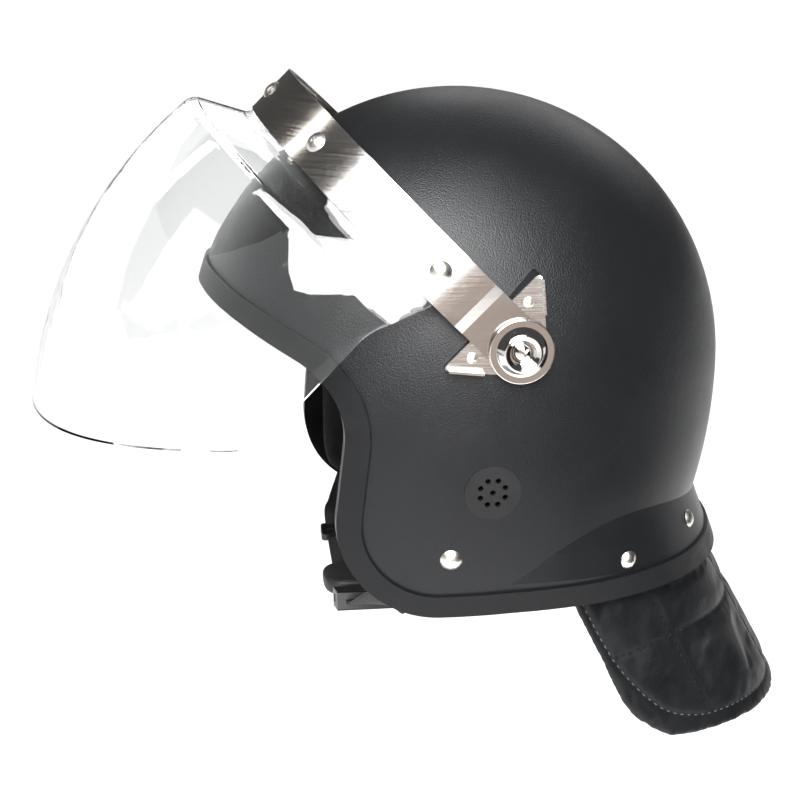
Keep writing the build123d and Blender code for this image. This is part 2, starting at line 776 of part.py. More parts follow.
def make_neck_guard():
    """Quilted flap that hangs from inside the skirt, with sewn seams round and across it."""
    body = guard_solid(0) - guard_solid(guard_thickness - guard_lining)
    body &= side_prism(guard_outline(0))
    layer = guard_solid(0) - guard_solid(guard_seam_depth)
    edge_seam = guard_outline(guard_seam_inset) - guard_outline(guard_seam_inset + guard_seam_width)
    seams = side_prism(edge_seam)
    for x in guard_column_x:
        for sign in (1, -1):
            slab = Pos(sign * x, 0, -guard_hang_depth - span / 2)
            seams += slab * Box(guard_seam_width, 2 * span, span)
    seams += Pos(0, 0, -guard_row_depth) * Box(2 * span, 2 * span, guard_seam_width)
    seams &= side_prism(guard_outline(guard_seam_inset))
    body -= layer & seams
    lining = guard_solid(guard_thickness - guard_lining) - guard_solid(guard_thickness)
    lining &= side_prism(guard_outline(guard_seam_width))
    for place in stud_places:
        hole = place * rod(rivet_shank_diameter + 2 * shank_gap, -2 * overrun, overrun)
        body -= hole
        lining -= hole
        body -= mirror(hole, about=Plane.YZ)
        lining -= mirror(hole, about=Plane.YZ)
    return body, lining


def make_studs():
    """Snap studs that hold the guard to the skirt."""
    reach = shell_wall + trim_wall + seat_gap + guard_thickness + 2 * seat_gap
    stud = dome_head(stud_head_diameter, stud_head_height)
    stud += rod(rivet_shank_diameter, -reach - rivet_tail_height, 0)
    stud += rod(rivet_washer_diameter, -reach - rivet_washer_thickness, -reach)
    solids = []
    for place in stud_places:
        solids += list(both_sides(place * stud))
    return Compound([shape.solid() for shape in solids])


def make_strap_rivets():
    reach = shell_wall + trim_wall + strap_thickness + 2 * seat_gap
    rivet = dome_head(rivet_head_diameter, rivet_head_height)
    rivet += rod(rivet_shank_diameter, -reach - rivet_washer_thickness, 0)
    rivet += rod(rivet_washer_diameter, -reach - rivet_washer_thickness, -reach)
    return Compound([shape.solid() for shape in both_sides(strap_rivet_place * rivet)])


# Chin strap: the side straps run straight along the buckle's line near the chin.
strap_line_angle = math.atan2(strap_side_rise, strap_side_run)
strap_line_length = math.hypot(strap_side_run, strap_side_rise)


def chin_plane(along):
    """Plane on the left half of the strap, local X out along the strap, local Z up."""
    c, s = math.cos(strap_line_angle), math.sin(strap_line_angle)
    origin = (strap_level_half + along * c, -strap_chin_y, -strap_chin_depth + along * s)
    return Plane(origin=origin, x_dir=(c, 0, s), z_dir=(-s, 0, c))


def between(first, second, share):
    """Vector part of the way from one to another."""
    return first + (second - first) * share


def strap_stations():
    """Centres, width and thickness directions of the left strap from its rivet to the chin line."""
    layer_inset = shell_wall + trim_wall + seat_gap + strap_thickness / 2
    form = plain_form(layer_inset)
    run_y = strap_chin_y - strap_rivet_y
    drop = jaw_depth - strap_rivet_depth
    slope = math.atan2(drop, run_y)
    run = Vector(0, -math.cos(slope), -math.sin(slope))
    stations = []
    for share in (-rivet_head_diameter / run_y, 0, rivet_head_diameter / run_y, *strap_wall_shares):
        place = surface_plane(form, -strap_rivet_y - share * run_y, -strap_rivet_depth - share * drop)
        width = place.z_dir.cross(run).normalized()
        stations.append((place.origin, width, place.z_dir))
    line = chin_plane(strap_line_length)
    last = (line.origin, line.y_dir, -line.z_dir)
    wall_end = stations[-1]
    for share in strap_free_shares:
        centre = between(wall_end[0], last[0], share)
        width = between(wall_end[1], last[1], share).normalized()
        thick = between(wall_end[2], last[2], share)
        thick = (thick - width * thick.dot(width)).normalized()
        stations.append((centre, width, thick))
    return stations


def chin_station(along):
    line = chin_plane(along)
    return (line.origin, line.y_dir, -line.z_dir)


def mirrored_station(station):
    """Station of the right strap, taken in the same order of directions."""
    centre, width, thick = station
    return (Vector(-centre.X, centre.Y, centre.Z), Vector(-width.X, width.Y, width.Z),
            Vector(-thick.X, thick.Y, thick.Z))


def webbing(stations):
    """Flat strap through the stations."""
    slices = []
    for centre, width, thick in stations:
        plane = Plane(origin=centre, x_dir=width, z_dir=width.cross(thick))
        slices.append(plane * Rectangle(strap_width, strap_thickness))
    return loft(slices, ruled=True)


def chin_block(start, end, width, low, high):
    """Block on the left half of the chin line between two places along it."""
    block = Box(end - start, width, high - low, align=(Align.MIN, Align.CENTER, Align.MIN))
    return chin_plane(0) * Pos(start, 0, low) * block


socket_start = buckle_start + clip_bar + buckle_gap
socket_end = socket_start + socket_length
strap_hole = rivet_shank_diameter + 2 * shank_gap


def make_left_strap():
    """Left strap, from its rivet to the slot in the buckle's socket."""
    end = socket_end - bar_slot_depth + seat_gap
    strap = webbing(strap_stations() + [chin_station(end)])
    return strap - strap_rivet_place * rod(strap_hole, -overrun, overrun)


def make_right_strap():
    """Right strap, through the slider and the chin cup to the buckle's clip."""
    stations = [mirrored_station(station) for station in strap_stations()]
    stations.append(mirrored_station(chin_station(0)))
    stations.append(chin_station(0))
    stations.append(chin_station(buckle_start + bar_slot_depth - seat_gap))
    strap = webbing(stations)
    return strap - mirror(strap_rivet_place * rod(strap_hole, -overrun, overrun), about=Plane.YZ)


def strap_slot(start, end):
    """Slot that the webbing passes through with clearance."""
    half = strap_thickness / 2 + seat_gap
    return chin_block(start, end, strap_width + 2 * seat_gap, -half, half)


def make_socket():
    """Hollow half of the side release buckle, with a mouth, two side windows and a strap slot."""
    half = socket_height / 2
    socket = chin_block(socket_start, socket_end, socket_width, -half, half)
    socket = fillet(socket.edges().filter_by(Axis.Y), socket_wall / 2)
    inside = half - socket_wall
    mouth_end = socket_start + prong_length + buckle_gap
    socket -= chin_block(socket_start - overrun, mouth_end, socket_width - 2 * socket_wall, -inside, inside)
    socket -= chin_block(mouth_end - socket_window, mouth_end - socket_wall, 2 * socket_width,
                         -prong_height / 2 - buckle_gap, prong_height / 2 + buckle_gap)
    return socket - strap_slot(socket_end - bar_slot_depth, socket_end + overrun)


def make_clip():
    """Pronged half of the buckle that slides out of the socket."""
    half = clip_height / 2
    clip = chin_block(buckle_start, buckle_start + clip_bar, clip_width, -half, half)
    clip = fillet(clip.edges().filter_by(Axis.Y), half / 2)
    prong_start = buckle_start + clip_bar
    tip = prong_start + prong_length
    reach = socket_width / 2 - socket_wall - buckle_gap
    for sign in (1, -1):
        points = [(prong_start - socket_wall, prong_spread - prong_width / 2),
                  (tip, prong_spread - prong_width / 2), (tip, reach - prong_hook),
                  (tip - 2 * prong_hook, reach), (tip - 3 * prong_hook, reach),
                  (tip - 3 * prong_hook, prong_spread + prong_width / 2),
                  (prong_start - socket_wall, prong_spread + prong_width / 2)]
        prong = extrude(make_face(Polyline(*points, close=True).edges()), amount=prong_height / 2, both=True)
        if sign < 0:
            prong = mirror(prong, about=Plane.XZ)
        clip += chin_plane(0) * prong
    return clip - strap_slot(buckle_start - overrun, buckle_start + bar_slot_depth)


def make_chin_cup():
    """Soft rounded chin cup, threaded on the level stretch of the right strap."""
    cup = extrude(RectangleRounded(cup_length, cup_width, cup_corner), amount=cup_height)
    cup = fillet(cup.edges().group_by(Axis.Z)[0], cup_round)
    cup = fillet(cup.edges().group_by(Axis.Z)[-1], cup_round / 2)
    slot = Box(2 * cup_length, strap_width + 2 * seat_gap, strap_thickness + 2 * seat_gap)
    place = Pos(0, -strap_chin_y, -strap_chin_depth)
    return place * (Pos(0, 0, cup_rise - cup_height) * cup - slot)


def make_slider():
    """Flat slider on the right strap, with a crossbar that the webbing is threaded under."""
    half = slider_height / 2
    slider = extrude(RectangleRounded(slider_length, slider_width, half), amount=half, both=True)
    slider -= Box(slider_length + overrun, strap_width + 2 * seat_gap, strap_thickness + 2 * seat_gap)
    window = Box((slider_length - 3 * slider_bar) / 2, strap_width, slider_height)
    shift = (slider_length - slider_bar) / 4
    slider -= Pos(shift, 0, half) * window
    slider -= Pos(-shift, 0, half) * window
    place = Pos(slider_start + slider_length / 2, 0, 0)
    return mirror(chin_plane(0) * place * slider, about=Plane.YZ)


exports = {}


def add(name, shape):
    exports[name] = shape


shell = make_shell()
add("outer_shell", shell)
add("edge_trim", make_trim(shell))
left_grille, right_grille = both_sides(make_grille())
add("left_ear_grille", left_grille)
add("right_ear_grille", right_grille)
add("impact_liner", make_liner())
add("crown_pad", make_crown_pad())
add("brow_pad", make_brow_pad())
left_cheek, right_cheek = both_sides(make_cheek_pad())
add("left_cheek_pad", left_cheek)
add("right_cheek_pad", right_cheek)
add("nape_pad", make_nape_pad())
for name, make in (("stop_plate", stop_plate), ("pivot_bolt", make_bolt), ("pivot_nut", make_nut),
                   ("pivot_bush", make_bush), ("spring_washer", make_spring_washer),
                   ("pivot_cap", make_cap)):
    left_piece, right_piece = both_sides(make())
    add("left_" + name, left_piece)
    add("right_" + name, right_piece)
add("stop_plate_rivets", make_plate_rivets())
guard, guard_inside = make_neck_guard()
add("neck_guard", guard)
add("neck_guard_lining", guard_inside)
add("neck_guard_studs", make_studs())
add("strap_rivets", make_strap_rivets())
add("left_chin_strap", make_left_strap())
add("right_chin_strap", make_right_strap())
add("buckle_socket", make_socket())
add("buckle_clip", make_clip())
add("chin_cup", make_chin_cup())
add("strap_slider", make_slider())
add("visor_band", make_band())
add("visor_shield", make_shield())
visor_rivets, visor_washers = make_visor_rivets()
add("visor_rivets", visor_rivets)
add("visor_rivet_washers", visor_washers)

os.makedirs("parts", exist_ok=True)
for name, shape in exports.items():
    export_step(shape, os.path.join("parts", name + ".step"))
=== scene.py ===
"""Riot helmet: finishes, padded pieces, straps, stitching and the studio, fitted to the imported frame."""

import math

import bmesh
import bpy
import numpy as np
from bpy.props import FloatProperty, FloatVectorProperty, IntProperty, PointerProperty
from mathutils import Matrix, Vector
from mathutils.bvhtree import BVHTree
from mathutils.kdtree import KDTree


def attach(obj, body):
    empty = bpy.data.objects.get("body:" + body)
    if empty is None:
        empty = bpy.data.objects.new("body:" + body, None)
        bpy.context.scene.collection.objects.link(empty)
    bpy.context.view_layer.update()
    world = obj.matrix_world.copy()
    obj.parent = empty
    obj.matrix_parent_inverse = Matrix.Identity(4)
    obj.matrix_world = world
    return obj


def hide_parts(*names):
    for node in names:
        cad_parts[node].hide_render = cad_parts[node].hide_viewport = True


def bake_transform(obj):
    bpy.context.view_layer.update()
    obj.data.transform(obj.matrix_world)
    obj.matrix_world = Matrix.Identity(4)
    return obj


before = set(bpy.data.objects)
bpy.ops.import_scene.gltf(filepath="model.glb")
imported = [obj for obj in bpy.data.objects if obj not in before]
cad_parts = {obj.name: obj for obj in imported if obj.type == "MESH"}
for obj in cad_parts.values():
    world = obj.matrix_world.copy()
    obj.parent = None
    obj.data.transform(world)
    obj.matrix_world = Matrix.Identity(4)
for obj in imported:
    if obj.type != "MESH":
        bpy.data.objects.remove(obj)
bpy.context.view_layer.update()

bl_info = {
    "name": "Riot Helmet",
    "version": (1, 0, 0),
    "blender": (4, 5, 0),
    "location": "View3D > Sidebar > Helmet",
    "description": "Finishes, cushions, straps and studio for a riot helmet with a hinged visor",
    "category": "Object",
}

MM = 0.001


def colour_property(name, description, default):
    return FloatVectorProperty(name=name, description=description, subtype="COLOR", size=3,
                               min=0.0, max=1.0, default=default)


def length_property(name, description, default):
    return FloatProperty(name=name, description=description, unit="LENGTH", min=0.0, default=default,
                         precision=5)


def share_property(name, description, default):
    return FloatProperty(name=name, description=description, subtype="FACTOR", min=0.0, max=1.0,
                         default=default)


def strength_property(name, description, default):
    return FloatProperty(name=name, description=description, min=0.0, default=default)


def steps_property(default):
    return IntProperty(name="Steps", description="Frames of the cloth simulation", min=1, default=default)


class ShellLook(bpy.types.PropertyGroup):
    colour: colour_property("Colour", "Moulded shell plastic", (0.0036, 0.0039, 0.0044))
    roughness: share_property("Roughness", "How matt the grained plastic is", 0.335)
    pebble: length_property("Pebble size", "Width of one pebble of the moulded grain", 0.66 * MM)
    pebble_height: length_property("Pebble height", "How far the grain stands out", 0.12 * MM)
    smooth_height: length_property("Smooth height", "Depth under the centre where the grain fades", 34 * MM)
    trim_colour: colour_property("Trim colour", "Rubber edge trim", (0.0032, 0.0034, 0.0038))
    trim_roughness: share_property("Trim roughness", "How matt the rubber trim is", 0.46)


class MetalLook(bpy.types.PropertyGroup):
    band_colour: colour_property("Band colour", "Polished visor band", (0.60, 0.575, 0.55))
    band_roughness: share_property("Band roughness", "Polish of the band", 0.15)
    plate_roughness: share_property("Plate roughness", "Polish of the stop plates", 0.24)
    chrome_colour: colour_property("Chrome colour", "Plated caps and screws", (0.68, 0.66, 0.64))
    chrome_roughness: share_property("Chrome roughness", "Polish of caps and screws", 0.07)
    rivet_colour: colour_property("Rivet colour", "Plated dome rivets", (0.66, 0.64, 0.60))
    rivet_roughness: share_property("Rivet roughness", "Polish of the rivets", 0.3)
    arm_angle: FloatProperty(name="Arm angle", description="Rise of the band's arms at rest",
                             subtype="ANGLE", default=math.radians(45.5))


class VisorLook(bpy.types.PropertyGroup):
    tint: colour_property("Tint", "Faint tint of the clear plastic", (0.962, 0.97, 0.972))
    roughness: share_property("Roughness", "Haze of the surface", 0.012)
    refraction: FloatProperty(name="Refraction", description="Refractive index of the plastic",
                              min=1.0, max=2.0, default=1.5)


class PadLook(bpy.types.PropertyGroup):
    fleece_colour: colour_property("Fleece colour", "Fleece of the comfort pads", (0.0022, 0.0023, 0.0026))
    foam_colour: colour_property("Foam colour", "Faced foam liner", (0.005, 0.005, 0.0055))
    voxel: length_property("Voxel", "Mesh size that the cushions are swollen at", 3.2 * MM)
    swell: length_property("Swell", "Most that a cushion may swell", 4 * MM)
    pressure: strength_property("Pressure", "Pressure inside a cushion", 4.0)
    steps: steps_property(16)


class GuardLook(bpy.types.PropertyGroup):
    colour: colour_property("Colour", "Leatherette of the neck guard", (0.003, 0.0032, 0.0036))
    roughness: share_property("Roughness", "How matt the leatherette is", 0.42)
    thread_colour: colour_property("Edge thread", "Thread of the edge seam", (0.06, 0.06, 0.063))
    dark_thread_colour: colour_property("Quilt thread", "Thread of the quilting", (0.011, 0.011, 0.012))
    voxel: length_property("Voxel", "Mesh size that the guard is swollen at", 2.45 * MM)
    swell: length_property("Swell", "Most that a panel may swell", 1.6 * MM)
    pressure: strength_property("Pressure", "Pressure inside the guard", 5.0)
    steps: steps_property(14)
    seam_depth: length_property("Seam depth", "Depth of the sewn channels", 0.7 * MM)
    seam_width: length_property("Seam width", "Half width of the sewn channels", 1.5 * MM)
    stitch: length_property("Stitch", "Length of one stitch", 2.3 * MM)
    stitch_gap: length_property("Stitch gap", "Distance between two stitches", 2.3 * MM)
    thread: length_property("Thread", "Thickness of the thread", 0.48 * MM)


class StrapLook(bpy.types.PropertyGroup):
    colour: colour_property("Colour", "Woven webbing", (0.005, 0.0051, 0.0056))
    buckle_colour: colour_property("Buckle colour", "Moulded buckle and slider", (0.0055, 0.0057, 0.0062))
    cup_colour: colour_property("Cup colour", "Soft chin cup", (0.012, 0.0123, 0.013))
    width: length_property("Width", "Width of the webbing", 19.6 * MM)
    thickness: length_property("Thickness", "Thickness of the webbing", 1.3 * MM)
    cup_voxel: length_property("Cup voxel", "Mesh size that the chin cup is swollen at", 1.4 * MM)
    cup_swell: length_property("Cup swell", "Most that the chin cup may swell", 0.8 * MM)
    cup_pressure: strength_property("Cup pressure", "Pressure inside the chin cup", 2.0)
    cup_steps: steps_property(8)


class StudioLook(bpy.types.PropertyGroup):
    floor_depth: length_property("Floor depth", "Floor below the helmet's centre", 900 * MM)
    floor_colour: colour_property("Floor colour", "Pale floor", (0.96, 0.96, 0.96))
    sky: strength_property("Sky", "Strength of the even light", 0.08)
    sky_colour: colour_property("Sky colour", "Faintly warm even light", (1.0, 0.975, 0.94))
    key: strength_property("Key", "Strength of the main light panel", 18.0)
    strip: strength_property("Strip", "Strength of the narrow panel in front", 6.0)
    warm_colour: colour_property("Warm board", "Board that the arms near the pivots mirror",
                                 (0.50, 0.42, 0.37))
    dark_colour: colour_property("Dark board", "Board that the lower shell and the guard mirror",
                                 (0.02, 0.02, 0.02))
    rim: strength_property("Rim", "Power of the softbox behind the helmet", 5.0)
    sun: strength_property("Sun", "Strength of the wide light that whitens the floor", 5.0)
    sun_width: FloatProperty(name="Sun width", description="Angle that the wide light fills",
                             subtype="ANGLE", default=math.radians(40))
    distance: length_property("Camera distance", "Camera distance along its line of sight", 1027.15 * MM)
    azimuth: FloatProperty(name="Azimuth", description="Camera direction round the helmet",
                           subtype="ANGLE", default=math.radians(82.75))
    elevation: FloatProperty(name="Elevation", description="Camera height over the horizon",
                             subtype="ANGLE", default=math.radians(15.76))
    shift_right: length_property("Right", "Camera offset to its left", 29.0 * MM)
    shift_down: length_property("Down", "Camera offset downwards", 28.0 * MM)
    lens: FloatProperty(name="Lens", description="Focal length in millimetres", min=1.0, default=84.0)


def new_finish(name, colour, roughness, metallic=0.0, shine=0.5):
    """Material with its plain numbers on the shader's own sockets."""
    material = bpy.data.materials.new(name)
    material.use_nodes = True
    shader = material.node_tree.nodes["Principled BSDF"]
    shader.inputs["Base Color"].default_value = (*colour, 1.0)
    shader.inputs["Roughness"].default_value = roughness
    shader.inputs["Metallic"].default_value = metallic
    shader.inputs["Specular IOR Level"].default_value = shine
    return material, shader


def add_node(material, kind, sockets=None, **settings):
    """Node whose sockets are given numbers or other nodes' outputs."""
    made = material.node_tree.nodes.new(kind)
    for key, value in settings.items():
        setattr(made, key, value)
    for key, value in (sockets or {}).items():
        if isinstance(value, bpy.types.NodeSocket):
            material.node_tree.links.new(value, made.inputs[key])
        else:
            made.inputs[key].default_value = value
    return made


def join(material, output, socket):
    material.node_tree.links.new(output, socket)


def place_pattern(material, scale=(1, 1, 1), turn=(0, 0, 0), source="Object"):
    """Pattern coordinates on the piece, stretched and turned."""
    coords = add_node(material, "ShaderNodeTexCoord")
    mapping = add_node(material, "ShaderNodeMapping",
                       {"Vector": coords.outputs[source], "Scale": scale, "Rotation": turn})
    return mapping.outputs["Vector"]


def clouds(material, vector, scale, detail=2.0, roughness=0.5, distortion=0.0):
    made = add_node(material, "ShaderNodeTexNoise",
                    {"Vector": vector, "Scale": scale, "Detail": detail, "Roughness": roughness,
                     "Distortion": distortion})
    return made.outputs["Fac"]


def pebbles(material, vector, scale, feature="SMOOTH_F1"):
    made = add_node(material, "ShaderNodeTexVoronoi", {"Vector": vector, "Scale": scale}, feature=feature)
    return made.outputs["Distance"]


def ribs(material, vector, scale, direction="X", distortion=0.0):
    made = add_node(material, "ShaderNodeTexWave",
                    {"Vector": vector, "Scale": scale, "Distortion": distortion},
                    wave_type="BANDS", bands_direction=direction)
    return made.outputs["Fac"]


def stretch(material, value, low, high, to_low, to_high):
    """Value mapped from one range to another, held inside it."""
    made = add_node(material, "ShaderNodeMapRange",
                    {"Value": value, "From Min": low, "From Max": high, "To Min": to_low,
                     "To Max": to_high}, clamp=True)
    return made.outputs["Result"]


def combine(material, operation, *values):
    """One sum of up to three numbers or patterns."""
    made = add_node(material, "ShaderNodeMath", dict(enumerate(values)), operation=operation)
    return made.outputs["Value"]


def uneven(material, shader, pattern, low, high, smooth, matt):
    """Roughness that runs from smooth to matt as a pattern goes from low to high."""
    join(material, stretch(material, pattern, low, high, smooth, matt), shader.inputs["Roughness"])


def height_over_centre(material):
    coords = add_node(material, "ShaderNodeTexCoord")
    split = add_node(material, "ShaderNodeSeparateXYZ", {"Vector": coords.outputs["Object"]})
    return split.outputs["Z"]


def tones(material, shader, factor, first, second):
    """Base colour that runs between two tones."""
    mix = add_node(material, "ShaderNodeMix", {0: factor}, data_type="RGBA")
    mix.inputs[6].default_value = (*first, 1.0)
    mix.inputs[7].default_value = (*second, 1.0)
    join(material, mix.outputs[2], shader.inputs["Base Color"])


def relief(material, shader, height, distance, strength=1.0):
    """Bump laid over any bump that the shader already has."""
    bump = add_node(material, "ShaderNodeBump",
                    {"Height": height, "Distance": distance, "Strength": strength})
    normal = shader.inputs["Normal"]
    if normal.is_linked:
        join(material, normal.links[0].from_socket, bump.inputs["Normal"])
    join(material, bump.outputs["Normal"], normal)


def dress(material, *names):
    """Gives a finish to nodes that keep their own shape."""
    for name in names:
        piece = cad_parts[name]
        piece.data.materials.clear()
        piece.data.materials.append(material)


def darker(colour, share):
    return tuple(value * share for value in colour)


def shell_finish(look):
    material, shader = new_finish("shell_plastic", look.colour, look.roughness, shine=0.2)
    place = place_pattern(material)
    grain = stretch(material, pebbles(material, place, 1 / look.pebble), 0.1, 0.75, 1.0, 0.0)
    fine = clouds(material, place, 1.9 / look.pebble, 3.0, 0.6)
    both = combine(material, "MULTIPLY_ADD", fine, 0.5, grain)
    edge = combine(material, "MULTIPLY_ADD", clouds(material, place, 14.0, 2.0), 0.03,
                   height_over_centre(material))
    upper = stretch(material, edge, -look.smooth_height - 0.03, -look.smooth_height + 0.045, 0.16, 1.0)
    relief(material, shader, clouds(material, place, 22.0, 2.0), 0.25 * MM, 0.25)
    relief(material, shader, combine(material, "MULTIPLY", both, upper), look.pebble_height)
    patches = clouds(material, place, 26.0, 4.0, 0.6)
    uneven(material, shader, patches, 0.3, 0.7, look.roughness - 0.035, look.roughness + 0.06)
    tones(material, shader, stretch(material, clouds(material, place, 9.0, 3.0), 0.3, 0.7, 0.0, 1.0),
          look.colour, darker(look.colour, 1.25))
    return material


def trim_finish(look):
    material, shader = new_finish("edge_rubber", look.trim_colour, look.trim_roughness, shine=0.15)
    place = place_pattern(material)
    relief(material, shader, clouds(material, place, 900.0, 3.0, 0.6), 0.03 * MM, 0.6)
    relief(material, shader, clouds(material, place, 60.0, 2.0), 0.12 * MM, 0.5)
    scuffs = clouds(material, place_pattern(material, (40, 140, 140)), 1.0, 5.0, 0.7)
    uneven(material, shader, scuffs, 0.35, 0.75, look.trim_roughness - 0.06, look.trim_roughness + 0.1)
    tones(material, shader, stretch(material, scuffs, 0.62, 0.8, 0.0, 1.0), look.trim_colour,
          darker(look.trim_colour, 1.9))
    return material


def moulded_finish(name, colour, roughness):
    """Plain moulded plastic with a faint spark texture."""
    material, shader = new_finish(name, colour, roughness, shine=0.28)
    place = place_pattern(material)
    relief(material, shader, clouds(material, place, 1500.0, 2.0), 0.03 * MM, 0.7)
    patches = clouds(material, place, 70.0, 3.0)
    uneven(material, shader, patches, 0.3, 0.7, roughness - 0.05, roughness + 0.07)
    return material


def brushed_finish(name, colour, roughness, turn, fine=1.0):
    """Steel with fine lines along the piece."""
    material, shader = new_finish(name, colour, roughness, 1.0)
    place = place_pattern(material, (25.0, 25.0, 2600.0 * fine), turn)
    lines = clouds(material, place, 1.0, 2.0, 0.6)
    uneven(material, shader, lines, 0.25, 0.75, max(0.02, roughness - 0.06), roughness + 0.08)
    relief(material, shader, lines, 0.012 * MM, 0.5)
    soft = clouds(material, place_pattern(material), 18.0, 2.0)
    relief(material, shader, soft, 0.3 * MM, 0.35)
    tones(material, shader, stretch(material, soft, 0.35, 0.65, 0.0, 1.0), colour, darker(colour, 0.9))
    return material


def plated_finish(name, colour, roughness):
    """Plated metal with hairline wear."""
    material, shader = new_finish(name, colour, roughness, 1.0)
    place = place_pattern(material)
    wear = clouds(material, place, 260.0, 5.0, 0.7)
    uneven(material, shader, wear, 0.35, 0.75, max(0.02, roughness - 0.04), roughness + 0.07)
    relief(material, shader, clouds(material, place, 120.0, 2.0), 0.03 * MM, 0.3)
    tones(material, shader, stretch(material, wear, 0.55, 0.8, 0.0, 1.0), colour, darker(colour, 0.86))
    return material


def visor_finish(look):
    material, shader = new_finish("visor_plastic", look.tint, look.roughness)
    shader.inputs["Transmission Weight"].default_value = 1.0
    shader.inputs["IOR"].default_value = look.refraction
    place = place_pattern(material)
    hairs = clouds(material, place_pattern(material, (900.0, 60.0, 60.0), (0.5, 0.3, 0.8)), 1.0, 2.0)
    uneven(material, shader, hairs, 0.66, 0.78, look.roughness, look.roughness + 0.07)
    relief(material, shader, clouds(material, place, 7.0, 1.0), 0.3 * MM, 0.25)
    return material


def fleece_finish(look):
    material, shader = new_finish("pad_fleece", look.fleece_colour, 0.92, shine=0.05)
    shader.inputs["Sheen Weight"].default_value = 0.02
    shader.inputs["Sheen Roughness"].default_value = 0.6
    place = place_pattern(material)
    tufts = clouds(material, place, 420.0, 4.0, 0.7, 0.6)
    loops = pebbles(material, place, 700.0, "F1")
    relief(material, shader, tufts, 0.9 * MM, 0.8)
    relief(material, shader, loops, 0.35 * MM, 0.6)
    # Painted shade: the fleece's colour darkens where its tufts lie low and lightens where they stand up.
    tones(material, shader, stretch(material, tufts, 0.3, 0.7, 0.0, 1.0), darker(look.fleece_colour, 0.6),
          darker(look.fleece_colour, 1.7))
    return material


def foam_finish(look):
    material, shader = new_finish("faced_foam", look.foam_colour, 0.85, shine=0.12)
    place = place_pattern(material)
    beads = pebbles(material, place, 260.0)
    knit = ribs(material, place_pattern(material, (1, 1, 1), (0.0, 0.0, 0.6)), 420.0, "DIAGONAL", 1.0)
    relief(material, shader, beads, 0.5 * MM, 0.35)
    relief(material, shader, knit, 0.12 * MM, 0.6)
    tones(material, shader, stretch(material, beads, 0.1, 0.7, 0.0, 1.0), look.foam_colour,
          darker(look.foam_colour, 0.65))
    return material


def leatherette_finish(look):
    material, shader = new_finish("leatherette", look.colour, look.roughness, shine=0.17)
    place = place_pattern(material)
    scales = pebbles(material, place, 780.0)
    upright = place_pattern(material, (70.0, 70.0, 30.0), (0.4, 0.2, 0.0))
    creases = clouds(material, upright, 1.0, 4.0, 0.65, 0.8)
    folds = clouds(material, place, 24.0, 2.0, 0.5, 0.4)
    relief(material, shader, folds, 1.6 * MM, 0.32)
    relief(material, shader, creases, 0.5 * MM, 0.35)
    relief(material, shader, stretch(material, scales, 0.1, 0.8, 1.0, 0.0), 0.07 * MM, 0.8)
    uneven(material, shader, creases, 0.3, 0.7, look.roughness - 0.07, look.roughness + 0.09)
    # Painted shade: the colour darkens in the low parts of the creases and lightens on their raised parts.
    tones(material, shader, stretch(material, creases, 0.35, 0.75, 0.0, 1.0), look.colour,
          darker(look.colour, 1.5))
    return material


def lining_finish(look):
    material, shader = new_finish("guard_lining", darker(look.colour, 1.1), 0.8, shine=0.12)
    shader.inputs["Sheen Weight"].default_value = 0.05
    across = ribs(material, place_pattern(material), 560.0, "X")
    down = ribs(material, place_pattern(material), 560.0, "Z")
    weave = combine(material, "MAXIMUM", across, down)
    relief(material, shader, weave, 0.12 * MM, 0.8)
    relief(material, shader, clouds(material, place_pattern(material), 40.0, 2.0), 0.8 * MM, 0.3)
    # Painted shade: the colour darkens in the gaps of the weave and lightens on the raised threads.
    tones(material, shader, weave, darker(look.colour, 0.7), darker(look.colour, 1.5))
    return material


def webbing_finish(look):
    """Woven webbing: ribs across the strap on its own UV map, which is in millimetres."""
    material, shader = new_finish("strap_webbing", look.colour, 0.72, shine=0.15)
    shader.inputs["Sheen Weight"].default_value = 0.06
    place = place_pattern(material, source="UV")
    across = ribs(material, place, 0.42, "Y", 0.3)
    along = ribs(material, place, 0.30, "X", 0.2)
    weave = combine(material, "MULTIPLY", across, along)
    relief(material, shader, weave, 0.28 * MM, 0.9)
    relief(material, shader, clouds(material, place_pattern(material), 900.0, 2.0), 0.06 * MM, 0.6)
    # Painted shade: the colour darkens in the gaps of the weave and lightens on the raised threads.
    tones(material, shader, weave, darker(look.colour, 0.6), darker(look.colour, 1.8))
    return material


def cup_finish(look):
    material, shader = new_finish("cup_rubber", look.cup_colour, 0.5, shine=0.3)
    place = place_pattern(material)
    relief(material, shader, clouds(material, place, 700.0, 3.0), 0.05 * MM, 0.7)
    uneven(material, shader, clouds(material, place, 90.0, 3.0), 0.3, 0.7, 0.42, 0.6)
    return material


def thread_finish(name, colour):
    material, shader = new_finish(name, colour, 0.7, shine=0.12)
    twist = ribs(material, place_pattern(material, (1, 1, 1), (0.7, 0.7, 0.0)), 900.0)
    relief(material, shader, twist, 0.08 * MM, 0.6)
    return material


def placed(name, data):
    """New object in the scene, at the origin."""
    made = bpy.data.objects.new(name, data)
    bpy.context.scene.collection.objects.link(made)
    return made


def mesh_from(work, name):
    """Mesh of a bmesh that is done with."""
    mesh = bpy.data.meshes.new(name)
    work.to_mesh(mesh)
    work.free()
    return mesh


def finished(name, mesh, body, material):
    """New piece that rides on a body, where one is named."""
    piece = placed(name, mesh)
    mesh.materials.append(material)
    mesh.shade_smooth()
    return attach(piece, body) if body else piece


def copied_mesh(name, *nodes):
    """Closed mesh made of copies of the nodes' loose triangles."""
    work = bmesh.new()
    for node in nodes:
        work.from_mesh(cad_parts[node].data)
    bmesh.ops.remove_doubles(work, verts=work.verts, dist=0.01 * MM)
    return mesh_from(work, name)


def modified(mesh, kind, **settings):
    """Mesh as one modifier leaves it."""
    holder = placed("modifier_work", mesh)
    modifier = holder.modifiers.new("Modifier", kind)
    for key, value in settings.items():
        setattr(modifier, key, value)
    result = bpy.data.meshes.new_from_object(holder.evaluated_get(bpy.context.evaluated_depsgraph_get()))
    bpy.data.objects.remove(holder)
    return result


